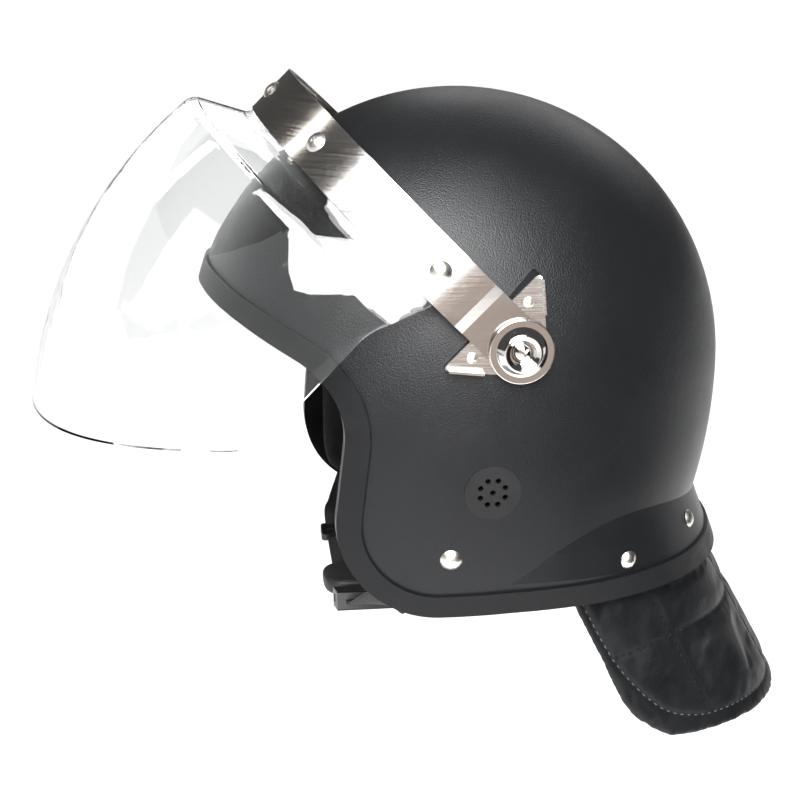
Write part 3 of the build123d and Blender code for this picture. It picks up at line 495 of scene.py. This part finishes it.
def remeshed(mesh, voxel):
    """Even mesh of the same form, made by a voxel remesh."""
    result = modified(mesh, "REMESH", mode="VOXEL", voxel_size=voxel)
    result.materials.clear()
    return result


def refined(mesh):
    """Mesh after one smooth subdivision."""
    return modified(mesh, "SUBSURF", levels=1, render_levels=1)


def positions(mesh):
    values = np.zeros(len(mesh.vertices) * 3)
    mesh.vertices.foreach_get("co", values)
    return values.reshape(-1, 3)


def set_positions(mesh, values):
    mesh.vertices.foreach_set("co", np.asarray(values, dtype=np.float32).ravel())
    mesh.update()


def edge_pairs(mesh):
    pairs = np.zeros(len(mesh.edges) * 2, dtype=np.int64)
    mesh.edges.foreach_get("vertices", pairs)
    return pairs.reshape(-1, 2)


def smoothed(values, pairs, rounds):
    """Vertex values averaged with their neighbours a few times."""
    values = values.copy()
    count = np.bincount(pairs.ravel(), minlength=len(values)).astype(float)
    count[count == 0] = 1
    for _ in range(rounds):
        total = np.zeros_like(values)
        np.add.at(total, pairs[:, 0], values[pairs[:, 1]])
        np.add.at(total, pairs[:, 1], values[pairs[:, 0]])
        mean = total / (count if values.ndim == 1 else count[:, None])
        values = values * 0.5 + mean * 0.5
    return values


def surface_tree(mesh):
    return BVHTree.FromPolygons([vertex.co for vertex in mesh.vertices],
                                [polygon.vertices for polygon in mesh.polygons])


def node_trees(names):
    return [surface_tree(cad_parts[name].data) for name in names]


def run_tree(runs):
    """Search tree over the points of sewn runs."""
    points = [point for run in runs for point, _ in run]
    tree = KDTree(len(points))
    for index, point in enumerate(points):
        tree.insert(point, index)
    tree.balance()
    return tree


# How the cloth of a cushion behaves while it swells.
CLOTH = {"quality": 5, "mass": 0.12, "tension_stiffness": 12, "compression_stiffness": 12,
         "shear_stiffness": 5, "bending_stiffness": 0.8, "use_pressure": True}
# A cushion is held where it lies this close to what carries it, and stays this clear of its neighbours.
HELD_WITHIN = 2.5 * MM
CLEAR_BY = 0.5 * MM


def simulated(mesh, held, pressure, steps, slack):
    """Positions after a short cloth simulation under pressure, with the held vertices pinned."""
    scene = bpy.context.scene
    piece = placed("cloth_work", mesh)
    group = piece.vertex_groups.new(name="held")
    for index in np.nonzero(held > 0)[0]:
        group.add([int(index)], float(held[index]), "REPLACE")
    cloth = piece.modifiers.new("Cloth", "CLOTH")
    settings = cloth.settings
    for key, value in CLOTH.items():
        setattr(settings, key, value)
    settings.shrink_min = -slack
    settings.uniform_pressure_force = pressure
    settings.vertex_group_mass = "held"
    settings.effector_weights.gravity = 0
    cloth.point_cache.frame_start = 1
    cloth.point_cache.frame_end = steps
    for number in range(1, steps + 1):
        scene.frame_set(number)
    result = positions(piece.evaluated_get(bpy.context.evaluated_depsgraph_get()).data)
    bpy.data.objects.remove(piece)
    scene.frame_set(1)
    return result


def close_to(trees, point, reach):
    return any(tree.find_nearest(Vector(point), reach)[0] is not None for tree in trees)


def clear_share(after, mesh, trees):
    """Share of its move that each vertex may make and still stay clear of the neighbours."""
    share = np.array([0.0 if close_to(trees, end, CLEAR_BY) else 1.0 for end in after])
    return np.minimum(share, smoothed(share, edge_pairs(mesh), 4))


def swollen(name, nodes, voxel, cap, pressure, steps, neighbours, held_near=(), seams=None, slack=0.0,
            rounding=2):
    """Cushion mesh: a copy of the nodes' form, remeshed, and swollen by simulation within a cap."""
    mesh = remeshed(copied_mesh(name + "_source", *nodes), voxel)
    mesh.name = name
    before = smoothed(positions(mesh), edge_pairs(mesh), rounding)
    set_positions(mesh, before)
    grip = node_trees(held_near)
    held = np.zeros(len(before))
    for index, point in enumerate(before):
        sewn = seams is not None and seams.find(Vector(point))[2] < voxel
        held[index] = 1.0 if sewn or close_to(grip, point, HELD_WITHIN) else 0.0
    move = simulated(mesh, held, pressure, steps, slack) - before
    length = np.linalg.norm(move, axis=1)
    move *= (np.minimum(length, cap) / np.maximum(length, 1e-9))[:, None]
    move *= clear_share(before + move, mesh, node_trees(neighbours))[:, None]
    set_positions(mesh, before + smoothed(move, edge_pairs(mesh), 1))
    return mesh


def press_seams(mesh, runs, depth, width):
    """Draws the surface in along sewn runs of points."""
    tree = run_tree(runs)
    normals = [vertex.normal.copy() for vertex in mesh.vertices]
    for vertex, normal in zip(mesh.vertices, normals):
        distance = tree.find(vertex.co)[2]
        if distance < 4 * width:
            vertex.co -= normal * depth * math.exp(-(distance / width) ** 2)
    mesh.update()


def spaced(run, step):
    """Points with normals along a run of surface points, one step apart."""
    result = []
    travelled, due = 0.0, 0.0
    for (start, first), (end, second) in zip(run, run[1:]):
        length = (end - start).length
        while length > 0 and due <= travelled + length:
            share = (due - travelled) / length
            result.append((start.lerp(end, share), first.lerp(second, share).normalized()))
            due += step
        travelled += length
    return result


def unbroken(run, longest):
    """Splits a run where it jumps from one surface to another."""
    parts, current = [], []
    for point, normal in run:
        if current and (point - current[-1][0]).length > longest:
            parts.append(current)
            current = []
        current.append((point, normal))
    parts.append(current)
    return [part for part in parts if len(part) > 2]


# Half width and half height of a stitch, and how far its middle stands out, as shares of its thread.
STITCH_WIDTH = 0.62
STITCH_HEIGHT = 0.5
STITCH_RISE = 0.15


def stitch_mesh(name, runs, length, gap, thickness):
    """Row of short rounded stitches that lie along sewn runs."""
    work = bmesh.new()
    for run in runs:
        places = spaced(run, length + gap)
        for (point, normal), (following, _) in zip(places, places[1:]):
            along = (following - point).normalized()
            side = along.cross(normal).normalized()
            turn = Matrix((along, side, normal)).transposed().to_4x4()
            centre = point + along * (length / 2) + normal * thickness * STITCH_RISE
            size = Matrix.Diagonal((length / 2, thickness * STITCH_WIDTH, thickness * STITCH_HEIGHT, 1))
            bmesh.ops.create_uvsphere(work, u_segments=6, v_segments=5, radius=1.0,
                                      matrix=Matrix.Translation(centre) @ turn @ size
                                      @ Matrix.Rotation(math.pi / 2, 4, "Y"))
    bmesh.ops.recalc_face_normals(work, faces=work.faces)
    return mesh_from(work, name)


# Sewing lines of the neck guard, in millimetres, as the photograph shows them. The guard curves round an
# upright line at this depth. Its edge seam is given by depth and height, as seen from the side, its
# upright seams by their distance from the middle, and the seam across by its height and its rise.
GUARD_MIDDLE_Y = 60.0
GUARD_EDGE_LINE = ((43.4, -81.0), (51.7, -109.6), (57.2, -120.6), (62.1, -130.3), (69.7, -143.8),
                   (75.9, -152.4), (81.2, -158.8), (86.6, -164.8), (93.5, -171.1), (98.2, -175.0),
                   (103.9, -178.2), (111.1, -180.8), (118.4, -182.4), (126.0, -183.6))
GUARD_EDGE_STEPS = 12
GUARD_COLUMNS = (90.0, 31.0)
GUARD_COLUMN_STEPS = 89
GUARD_SEAM_TOP = -84.0
GUARD_SEAM_BOTTOM = -183.0
GUARD_ROW = -146.0
GUARD_ROW_RISE = 11.0
# Degrees from the wearer's left between which the seam across runs.
GUARD_ROW_START = 7
GUARD_ROW_END = 173
GUARD_ROUND_STEPS = 140
# Rays that find the guard's outer face start this far from the middle, and this far behind it.
OUT_OF_REACH = 300
BEHIND_GUARD = 400
# A row of stitches ends where its run jumps by more than this.
QUILT_JUMP = 8 * MM
EDGE_JUMP = 12 * MM
# The lining lies over the pad's inner faces this close to its solid, beyond what the pad swells.
LINING_REACH = 1.2 * MM
LINING_LIFT = 0.15 * MM
LINING_THICKNESS = 0.4 * MM
LINING_FACES_INWARD = 0.35


def cast(tree, origin, heading):
    """Where a ray meets a surface, with the surface's normal there."""
    point, normal, _, _ = tree.ray_cast(Vector(origin) * MM, Vector(heading))
    return None if point is None else (point, normal)


def round_the_back(tree, height, start, end, inside, rise=0.0):
    """Run round the guard between two angles, in degrees from the wearer's left, level or rising."""
    run = []
    for index in range(GUARD_ROUND_STEPS + 1):
        angle = math.radians(start + (end - start) * index / GUARD_ROUND_STEPS)
        outward = Vector((math.cos(angle), math.sin(angle), 0))
        turned = min(math.pi / 2, 2 * min(angle, math.pi - angle))
        middle = Vector((0, GUARD_MIDDLE_Y, height + rise * math.sin(turned)))
        if inside:
            hit = cast(tree, middle, outward)
        else:
            hit = cast(tree, middle + outward * OUT_OF_REACH, -outward)
        if hit:
            run.append(hit)
    return run


def guard_runs(tree, inside=False):
    """Edge run, columns and row on one face of the guard, as points with normals."""
    edge = []
    for side in (1, -1):
        part = []
        for first, second in zip(GUARD_EDGE_LINE, GUARD_EDGE_LINE[1:]):
            for index in range(GUARD_EDGE_STEPS):
                y = first[0] + (second[0] - first[0]) * index / GUARD_EDGE_STEPS
                z = first[1] + (second[1] - first[1]) * index / GUARD_EDGE_STEPS
                start = (0, y, z) if inside else (side * OUT_OF_REACH, y, z)
                hit = cast(tree, start, (side, 0, 0) if inside else (-side, 0, 0))
                if hit:
                    part.append(hit)
        edge.append(part)
    last = edge[0][-1][0] / MM
    angle = math.degrees(math.atan2(last.y - GUARD_MIDDLE_Y, last.x))
    bottom = round_the_back(tree, GUARD_EDGE_LINE[-1][1], angle + 1, 179 - angle, inside)
    edge_run = edge[0] + bottom + edge[1][::-1]
    columns = []
    for x in GUARD_COLUMNS:
        for side in (1, -1):
            run = []
            for index in range(GUARD_COLUMN_STEPS + 1):
                z = GUARD_SEAM_TOP + (GUARD_SEAM_BOTTOM - GUARD_SEAM_TOP) * index / GUARD_COLUMN_STEPS
                start = (side * x, 0 if inside else BEHIND_GUARD, z)
                hit = cast(tree, start, (0, 1, 0) if inside else (0, -1, 0))
                if hit:
                    run.append(hit)
            columns.append(run)
    row = round_the_back(tree, GUARD_ROW, GUARD_ROW_START, GUARD_ROW_END, inside, GUARD_ROW_RISE)
    return edge_run, columns, row


def sewn_runs(tree):
    """Every sewn run on the guard's outer face, then on its inner face."""
    runs = []
    for inside in (False, True):
        edge, columns, row = guard_runs(tree, inside)
        runs += [edge, *columns, row]
    return runs


def inner_faces(mesh, tree, name, reach, lift, thickness):
    """Thin cloth over the faces of a pad that lie close to a tree's surface and look inwards."""
    work = bmesh.new()
    work.from_mesh(mesh)
    gone = []
    for face in work.faces:
        centre = face.calc_center_median()
        inward = Vector((-centre.x, GUARD_MIDDLE_Y * MM - centre.y, 0)).normalized()
        near = tree.find_nearest(centre, reach)[0] is not None
        if not near or face.normal.dot(inward) < LINING_FACES_INWARD:
            gone.append(face)
    bmesh.ops.delete(work, geom=gone, context="FACES")
    for _ in range(2):
        loose = [face for face in work.faces if sum(edge.is_boundary for edge in face.edges) > 2]
        bmesh.ops.delete(work, geom=loose, context="FACES")
    border = [vertex for vertex in work.verts if vertex.is_boundary]
    for _ in range(6):
        bmesh.ops.smooth_vert(work, verts=border, factor=0.5,
                              use_axis_x=True, use_axis_y=True, use_axis_z=True)
    for vertex in work.verts:
        vertex.co += vertex.normal * lift
    area = sum(face.calc_area() for face in work.faces)
    bmesh.ops.solidify(work, geom=work.faces[:], thickness=thickness)
    bmesh.ops.recalc_face_normals(work, faces=work.faces)
    return mesh_from(work, name), area


# Route of the chin strap, in millimetres: centre, direction of its width, direction of its face.
STRAP_SIDE = (
    ((113.75, -7.5, -68.45), (-0.07, 0.68, -0.73), (0.99, -0.04, -0.13)),
    ((111.57, -18.5, -78.6), (-0.05, 0.68, -0.73), (0.98, -0.10, -0.15)),
    ((108.44, -29.5, -88.75), (-0.02, 0.68, -0.73), (0.97, -0.16, -0.17)),
    ((105.59, -37.25, -95.9), (0.0, 0.68, -0.73), (0.96, -0.21, -0.19)),
    ((101.34, -46.62, -104.55), (0.04, 0.68, -0.73), (0.94, -0.28, -0.21)),
    ((91.07, -49.91, -109.08), (0.03, 0.86, -0.52), (0.81, -0.32, -0.49)),
    ((80.8, -53.19, -113.61), (0.01, 0.97, -0.24), (0.52, -0.21, -0.83)),
    ((72.0, -56.0, -117.5), (0.0, 1.0, 0.0), (0.25, 0.0, -0.97)),
)
STRAP_LEVEL = ((22.0, -56.0, -130.5), (0.0, 1.0, 0.0), (0.25, 0.0, -0.97))
STRAP_IN_SOCKET = ((61.4, -56.0, -120.25), (0.0, 1.0, 0.0), (0.25, 0.0, -0.97))
STRAP_IN_CLIP = ((38.0, -56.0, -126.35), (0.0, 1.0, 0.0), (0.25, 0.0, -0.97))
# Faces across and along a strap.
STRAP_ACROSS = 8
STRAP_ALONG = 140


def mirrored(stations):
    return [tuple((-x, y, z) for x, y, z in station) for station in stations]


def strap_mesh(name, stations, width, thickness):
    """Ribbon along a route, woven flat first, then laid through the stations."""
    centres = [Vector(station[0]) for station in stations]
    lengths = [0.0]
    for first, second in zip(centres, centres[1:]):
        lengths.append(lengths[-1] + (second - first).length)
    work = bmesh.new()
    bmesh.ops.create_grid(work, x_segments=STRAP_ACROSS, y_segments=STRAP_ALONG, size=0.5, calc_uvs=True)
    uv = work.loops.layers.uv.active or work.loops.layers.uv.new("weave")
    across_mm = width / MM
    flat = {vertex.index: (vertex.co.x * across_mm, (vertex.co.y + 0.5) * lengths[-1])
            for vertex in work.verts}
    for face in work.faces:
        for loop in face.loops:
            loop[uv].uv = flat[loop.vert.index]
    for vertex in work.verts:
        across, travel = flat[vertex.index]
        part = max(index for index in range(len(lengths) - 1) if lengths[index] <= travel or index == 0)
        t = (travel - lengths[part]) / (lengths[part + 1] - lengths[part])
        before = stations[max(part - 1, 0)]
        first, second = stations[part], stations[part + 1]
        after = stations[min(part + 2, len(stations) - 1)]
        laid = []
        for index in range(3):
            a, b, c, d = (Vector(station[index]) for station in (before, first, second, after))
            laid.append(0.5 * ((2 * b) + (c - a) * t + (2 * a - 5 * b + 4 * c - d) * t * t
                               + (3 * b - a - 3 * c + d) * t * t * t))
        vertex.co = (laid[0] + laid[1].normalized() * across) * MM
    bmesh.ops.solidify(work, geom=work.faces[:], thickness=thickness)
    bmesh.ops.recalc_face_normals(work, faces=work.faces)
    sharp = [edge for edge in work.edges if not edge.is_boundary and edge.calc_face_angle(0) > 1.2]
    bmesh.ops.bevel(work, geom=sharp, offset=thickness * 0.3, segments=2, profile=0.5, affect="EDGES",
                    material=-1)
    return mesh_from(work, name)


class HELMET_OT_shell(bpy.types.Operator):
    """Finish the moulded shell, its rubber trim and the ear grilles"""
    bl_idname = "helmet.shell"
    bl_label = "Shell and trim"

    def execute(self, context):
        look = context.scene.helmet_shell
        dress(shell_finish(look), "outer_shell")
        dress(trim_finish(look), "edge_trim")
        dress(moulded_finish("grille_plastic", darker(look.colour, 0.95), 0.42),
              "left_ear_grille", "right_ear_grille")
        return {"FINISHED"}


class HELMET_OT_metal(bpy.types.Operator):
    """Finish the visor band, stop plates, pivots and rivets"""
    bl_idname = "helmet.metal"
    bl_label = "Band, plates and pivots"

    def execute(self, context):
        look = context.scene.helmet_metal
        turn = (look.arm_angle, 0.0, 0.0)
        dress(brushed_finish("band_steel", look.band_colour, look.band_roughness, turn), "visor_band")
        dress(brushed_finish("plate_steel", darker(look.band_colour, 0.95), look.plate_roughness,
                             (look.arm_angle + math.pi / 2, 0.0, 0.0), 0.6),
              "left_stop_plate", "right_stop_plate")
        dress(plated_finish("pivot_chrome", look.chrome_colour, look.chrome_roughness),
              "left_pivot_cap", "right_pivot_cap", "left_pivot_bolt", "right_pivot_bolt")
        dress(plated_finish("rivet_plating", look.rivet_colour, look.rivet_roughness),
              "visor_rivets", "neck_guard_studs", "strap_rivets", "stop_plate_rivets")
        dress(plated_finish("zinc_plating", darker(look.chrome_colour, 0.75), 0.34),
              "left_pivot_nut", "right_pivot_nut", "left_spring_washer", "right_spring_washer",
              "visor_rivet_washers")
        dress(moulded_finish("bush_nylon", (0.72, 0.7, 0.64), 0.5), "left_pivot_bush", "right_pivot_bush")
        return {"FINISHED"}


class HELMET_OT_visor(bpy.types.Operator):
    """Finish the clear visor"""
    bl_idname = "helmet.visor"
    bl_label = "Visor"

    def execute(self, context):
        dress(visor_finish(context.scene.helmet_visor), "visor_shield")
        return {"FINISHED"}


class HELMET_OT_lining(bpy.types.Operator):
    """Finish the foam liner and swell the fleece cushions inside the helmet"""
    bl_idname = "helmet.lining"
    bl_label = "Liner and cushions"

    def execute(self, context):
        look = context.scene.helmet_pads
        dress(foam_finish(look), "impact_liner")
        fleece = fleece_finish(look)
        rigid = ("outer_shell", "impact_liner", "edge_trim", "strap_rivets")
        pads = (("crown_pad", ("impact_liner",)), ("brow_pad", ("impact_liner", "outer_shell")),
                ("nape_pad", ("outer_shell", "impact_liner")), ("left_cheek_pad", ("outer_shell",)),
                ("right_cheek_pad", ("outer_shell",)))
        for node, backing in pads:
            mesh = swollen(node + "_cushion", (node,), look.voxel, look.swell, look.pressure, look.steps,
                           rigid, held_near=backing)
            piece = finished(node + "_cushion", refined(mesh), "helmet", fleece)
            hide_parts(node)
        return {"FINISHED"}


class HELMET_OT_neck_guard(bpy.types.Operator):
    """Make the quilted neck guard with its lining and stitching"""
    bl_idname = "helmet.neck_guard"
    bl_label = "Neck guard"

    def execute(self, context):
        look = context.scene.helmet_guard
        source = surface_tree(copied_mesh("guard_source", "neck_guard", "neck_guard_lining"))
        mesh = swollen("neck_guard_pad", ("neck_guard", "neck_guard_lining"), look.voxel, look.swell,
                       look.pressure, look.steps, ("outer_shell", "edge_trim", "neck_guard_studs"),
                       held_near=("outer_shell", "edge_trim"), seams=run_tree(sewn_runs(source)),
                       slack=0.012, rounding=5)
        mesh = refined(mesh)
        press_seams(mesh, sewn_runs(surface_tree(mesh)), look.seam_depth, look.seam_width)
        cover = finished("neck_guard_pad", mesh, "helmet", leatherette_finish(look))
        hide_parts("neck_guard")
        lining_source = surface_tree(copied_mesh("lining_source", "neck_guard_lining"))
        lining_mesh, area = inner_faces(mesh, lining_source, "neck_guard_cloth",
                                        look.swell + LINING_REACH, LINING_LIFT, LINING_THICKNESS)
        lining = finished("neck_guard_cloth", lining_mesh, "helmet", lining_finish(look))
        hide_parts("neck_guard_lining")
        edge, columns, row = guard_runs(surface_tree(mesh))
        quilt = [part for run in (*columns, row) for part in unbroken(run, QUILT_JUMP)]
        pale = thread_finish("edge_thread", look.thread_colour)
        dark = thread_finish("quilt_thread", look.dark_thread_colour)
        for name, runs, material in (("guard_edge_stitches", unbroken(edge, EDGE_JUMP), pale),
                                     ("guard_quilt_stitches", quilt, dark)):
            stitches = stitch_mesh(name, runs, look.stitch, look.stitch_gap, look.thread)
            piece = finished(name, stitches, "helmet", material)
        return {"FINISHED"}


class HELMET_OT_chin_strap(bpy.types.Operator):
    """Make the webbing of the chin strap and finish the buckle, slider and cup"""
    bl_idname = "helmet.chin_strap"
    bl_label = "Chin strap"

    def execute(self, context):
        look = context.scene.helmet_strap
        webbing = webbing_finish(look)
        left = [*STRAP_SIDE, STRAP_IN_SOCKET]
        right = [*mirrored([*STRAP_SIDE, STRAP_LEVEL]), STRAP_LEVEL, STRAP_IN_CLIP]
        for side, stations in (("left", left), ("right", right)):
            node = side + "_chin_strap"
            mesh = strap_mesh(node + "_webbing", stations, look.width, look.thickness)
            piece = finished(node + "_webbing", mesh, "helmet" if side == "left" else None, webbing)
            if side == "right":
                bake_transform(piece)
            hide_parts(node)
        buckle = moulded_finish("buckle_plastic", look.buckle_colour, 0.4)
        dress(buckle, "buckle_socket", "buckle_clip", "strap_slider")
        mesh = swollen("chin_cup_pad", ("chin_cup",), look.cup_voxel, look.cup_swell, look.cup_pressure,
                       look.cup_steps, ("right_chin_strap",))
        cup = finished("chin_cup_pad", refined(mesh), "helmet", cup_finish(look))
        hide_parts("chin_cup")
        return {"FINISHED"}


def direction(azimuth, elevation):
    """Direction from the helmet, by the angle round from its front over its left, and up."""
    level = math.cos(elevation)
    return Vector((math.sin(azimuth) * level, -math.cos(azimuth) * level, math.sin(elevation)))


def towards(azimuth, elevation):
    """The same direction, by degrees."""
    return direction(math.radians(azimuth), math.radians(elevation))


WHITE = (1.0, 1.0, 1.0)
# Places of the studio's lights and corners of its panels, as degrees round from the helmet's front over
# its left, and up.
SUN_PLACE = (82, 40)
RIM_PLACE = (-115, 30)
KEY_PANEL = ((62, 18), (51, 29), (43, 38), (25, 41.5), (42, 64), (100, 66), (107, 40), (103, 14),
             (90, 0), (76, 9))
STRIP_PANEL = ((-27, 26), (-20, 26), (-20, 54), (-27, 54))
STRIP_COLOUR = (1.0, 0.96, 0.9)
WARM_BOARD = ((84, -27), (112, -27), (112, -3), (86, -3))
DARK_BOARD = ((112, -30), (178, -30), (178, 14), (112, 14))
# How far the panels and the softbox stand from the helmet's centre, in metres, and the softbox's size.
KEY_REACH = 1.7
STRIP_REACH = 1.8
BOARD_REACH = 1.5
RIM_REACH = 1.8
RIM_SIZE = (1.4, 1.0)
# The floor and the wall round it, in metres. The wall's foot is this far below the helmet's centre.
FLOOR_HALF = 25.0
WALL_HEIGHT = 16
WALL_RADIUS = 24
WALL_FOOT = 1


def aim(lamp, back):
    """Turns a light so that it looks against a direction."""
    lamp.rotation_euler = (-back).to_track_quat("-Z", "Y").to_euler()


def softbox(name, place, reach, size, power):
    """Soft light that looks at the helmet's centre."""
    data = bpy.data.lights.new(name, "AREA")
    data.shape = "RECTANGLE"
    data.size, data.size_y = size
    data.energy = power
    lamp = placed(name, data)
    lamp.location = towards(*place) * reach
    aim(lamp, lamp.location)


def staged(name, mesh, paint, glow, strength):
    """Stage object of a matt board that glows."""
    material, shader = new_finish(name, paint, 0.9, shine=0.0)
    shader.inputs["Emission Color"].default_value = (*glow, 1.0)
    shader.inputs["Emission Strength"].default_value = strength
    mesh.materials.append(material)
    made = placed(name, mesh)
    return made


def panel(name, corners, reach, colour, strength):
    """Flat studio board that the helmet mirrors, out of the camera's sight."""
    work = bmesh.new()
    edge = [work.verts.new(towards(*corner) * reach) for corner in corners]
    bmesh.ops.contextual_create(work, geom=edge)
    bmesh.ops.triangulate(work, faces=work.faces[:])
    board = staged(name, mesh_from(work, name), darker(colour, 0.1), colour, strength)
    board.visible_camera = board.visible_shadow = False


def backdrop():
    """White wall round the studio, which only the camera sees."""
    work = bmesh.new()
    bmesh.ops.create_cone(work, cap_ends=False, segments=64, radius1=WALL_RADIUS, radius2=WALL_RADIUS,
                          depth=WALL_HEIGHT, matrix=Matrix.Translation((0, 0, WALL_HEIGHT / 2 - WALL_FOOT)))
    bmesh.ops.reverse_faces(work, faces=work.faces[:])
    wall = staged("backdrop", mesh_from(work, "backdrop"), WHITE, WHITE, 1.0)
    wall.visible_diffuse = wall.visible_glossy = wall.visible_shadow = False


def paper_floor(look):
    """Pale floor below the helmet."""
    work = bmesh.new()
    bmesh.ops.create_grid(work, x_segments=4, y_segments=4, size=FLOOR_HALF,
                          matrix=Matrix.Translation((0, 0, -look.floor_depth)))
    mesh = mesh_from(work, "floor")
    material, shader = new_finish("floor_paper", look.floor_colour, 0.9)
    relief(material, shader, clouds(material, place_pattern(material), 300.0, 2.0), 0.05 * MM, 0.2)
    mesh.materials.append(material)
    placed("floor", mesh)


def even_light(look):
    """Faint light from all round."""
    world = bpy.data.worlds.new("studio")
    world.use_nodes = True
    sky = world.node_tree.nodes["Background"]
    sky.inputs["Color"].default_value = (*look.sky_colour, 1.0)
    sky.inputs["Strength"].default_value = look.sky
    bpy.context.scene.world = world


def wide_light(look):
    """Wide light that whitens the floor."""
    data = bpy.data.lights.new("floor_light", "SUN")
    data.energy, data.angle = look.sun, look.sun_width
    aim(placed("floor_light", data), towards(*SUN_PLACE))


def photo_camera(look):
    """Camera at the photograph's viewing angle."""
    data = bpy.data.cameras.new("camera")
    data.sensor_width = 36.0
    data.lens = look.lens
    camera = placed("camera", data)
    back = direction(look.azimuth, look.elevation)
    right = Vector((math.cos(look.azimuth), math.sin(look.azimuth), 0.0))
    up = back.cross(right)
    place = back * look.distance - right * look.shift_right - up * look.shift_down
    turn = Matrix((right, up, back)).transposed().to_4x4()
    camera.matrix_world = Matrix.Translation(place) @ turn
    bpy.context.scene.camera = camera


class HELMET_OT_studio(bpy.types.Operator):
    """Set up the pale floor, the soft lights and the camera"""
    bl_idname = "helmet.studio"
    bl_label = "Studio"

    def execute(self, context):
        look = context.scene.helmet_studio
        paper_floor(look)
        even_light(look)
        backdrop()
        panel("key_panel", KEY_PANEL, KEY_REACH, WHITE, look.key)
        panel("strip_panel", STRIP_PANEL, STRIP_REACH, STRIP_COLOUR, look.strip)
        panel("warm_board", WARM_BOARD, BOARD_REACH, look.warm_colour, 1.0)
        panel("dark_board", DARK_BOARD, BOARD_REACH, look.dark_colour, 1.0)
        softbox("rim_light", RIM_PLACE, RIM_REACH, RIM_SIZE, look.rim)
        wide_light(look)
        context.scene.view_settings.view_transform = "Standard"
        photo_camera(look)
        return {"FINISHED"}


OPERATORS = (HELMET_OT_shell, HELMET_OT_metal, HELMET_OT_visor, HELMET_OT_lining, HELMET_OT_neck_guard,
             HELMET_OT_chin_strap, HELMET_OT_studio)
LOOKS = (("helmet_shell", ShellLook), ("helmet_metal", MetalLook), ("helmet_visor", VisorLook),
         ("helmet_pads", PadLook), ("helmet_guard", GuardLook), ("helmet_strap", StrapLook),
         ("helmet_studio", StudioLook))


class HELMET_PT_panel(bpy.types.Panel):
    """Pieces of the helmet and their sizes and colours"""
    bl_idname = "HELMET_PT_panel"
    bl_label = "Riot Helmet"
    bl_space_type = "VIEW_3D"
    bl_region_type = "UI"
    bl_category = "Helmet"

    def draw(self, context):
        for (group, look), operator in zip(LOOKS, OPERATORS):
            box = self.layout.box()
            box.operator(operator.bl_idname)
            for key in look.__annotations__:
                box.prop(getattr(context.scene, group), key)


def register():
    for group, look in LOOKS:
        bpy.utils.register_class(look)
        setattr(bpy.types.Scene, group, PointerProperty(type=look))
    for kind in (*OPERATORS, HELMET_PT_panel):
        bpy.utils.register_class(kind)


def unregister():
    for kind in (HELMET_PT_panel, *reversed(OPERATORS)):
        bpy.utils.unregister_class(kind)
    for group, look in reversed(LOOKS):
        delattr(bpy.types.Scene, group)
        bpy.utils.unregister_class(look)


def main():
    register()
    bpy.ops.helmet.studio()
    bpy.ops.helmet.shell()
    bpy.ops.helmet.metal()
    bpy.ops.helmet.visor()
    bpy.ops.helmet.lining()
    bpy.ops.helmet.neck_guard()
    bpy.ops.helmet.chin_strap()


if __name__ == "__main__":
    main()
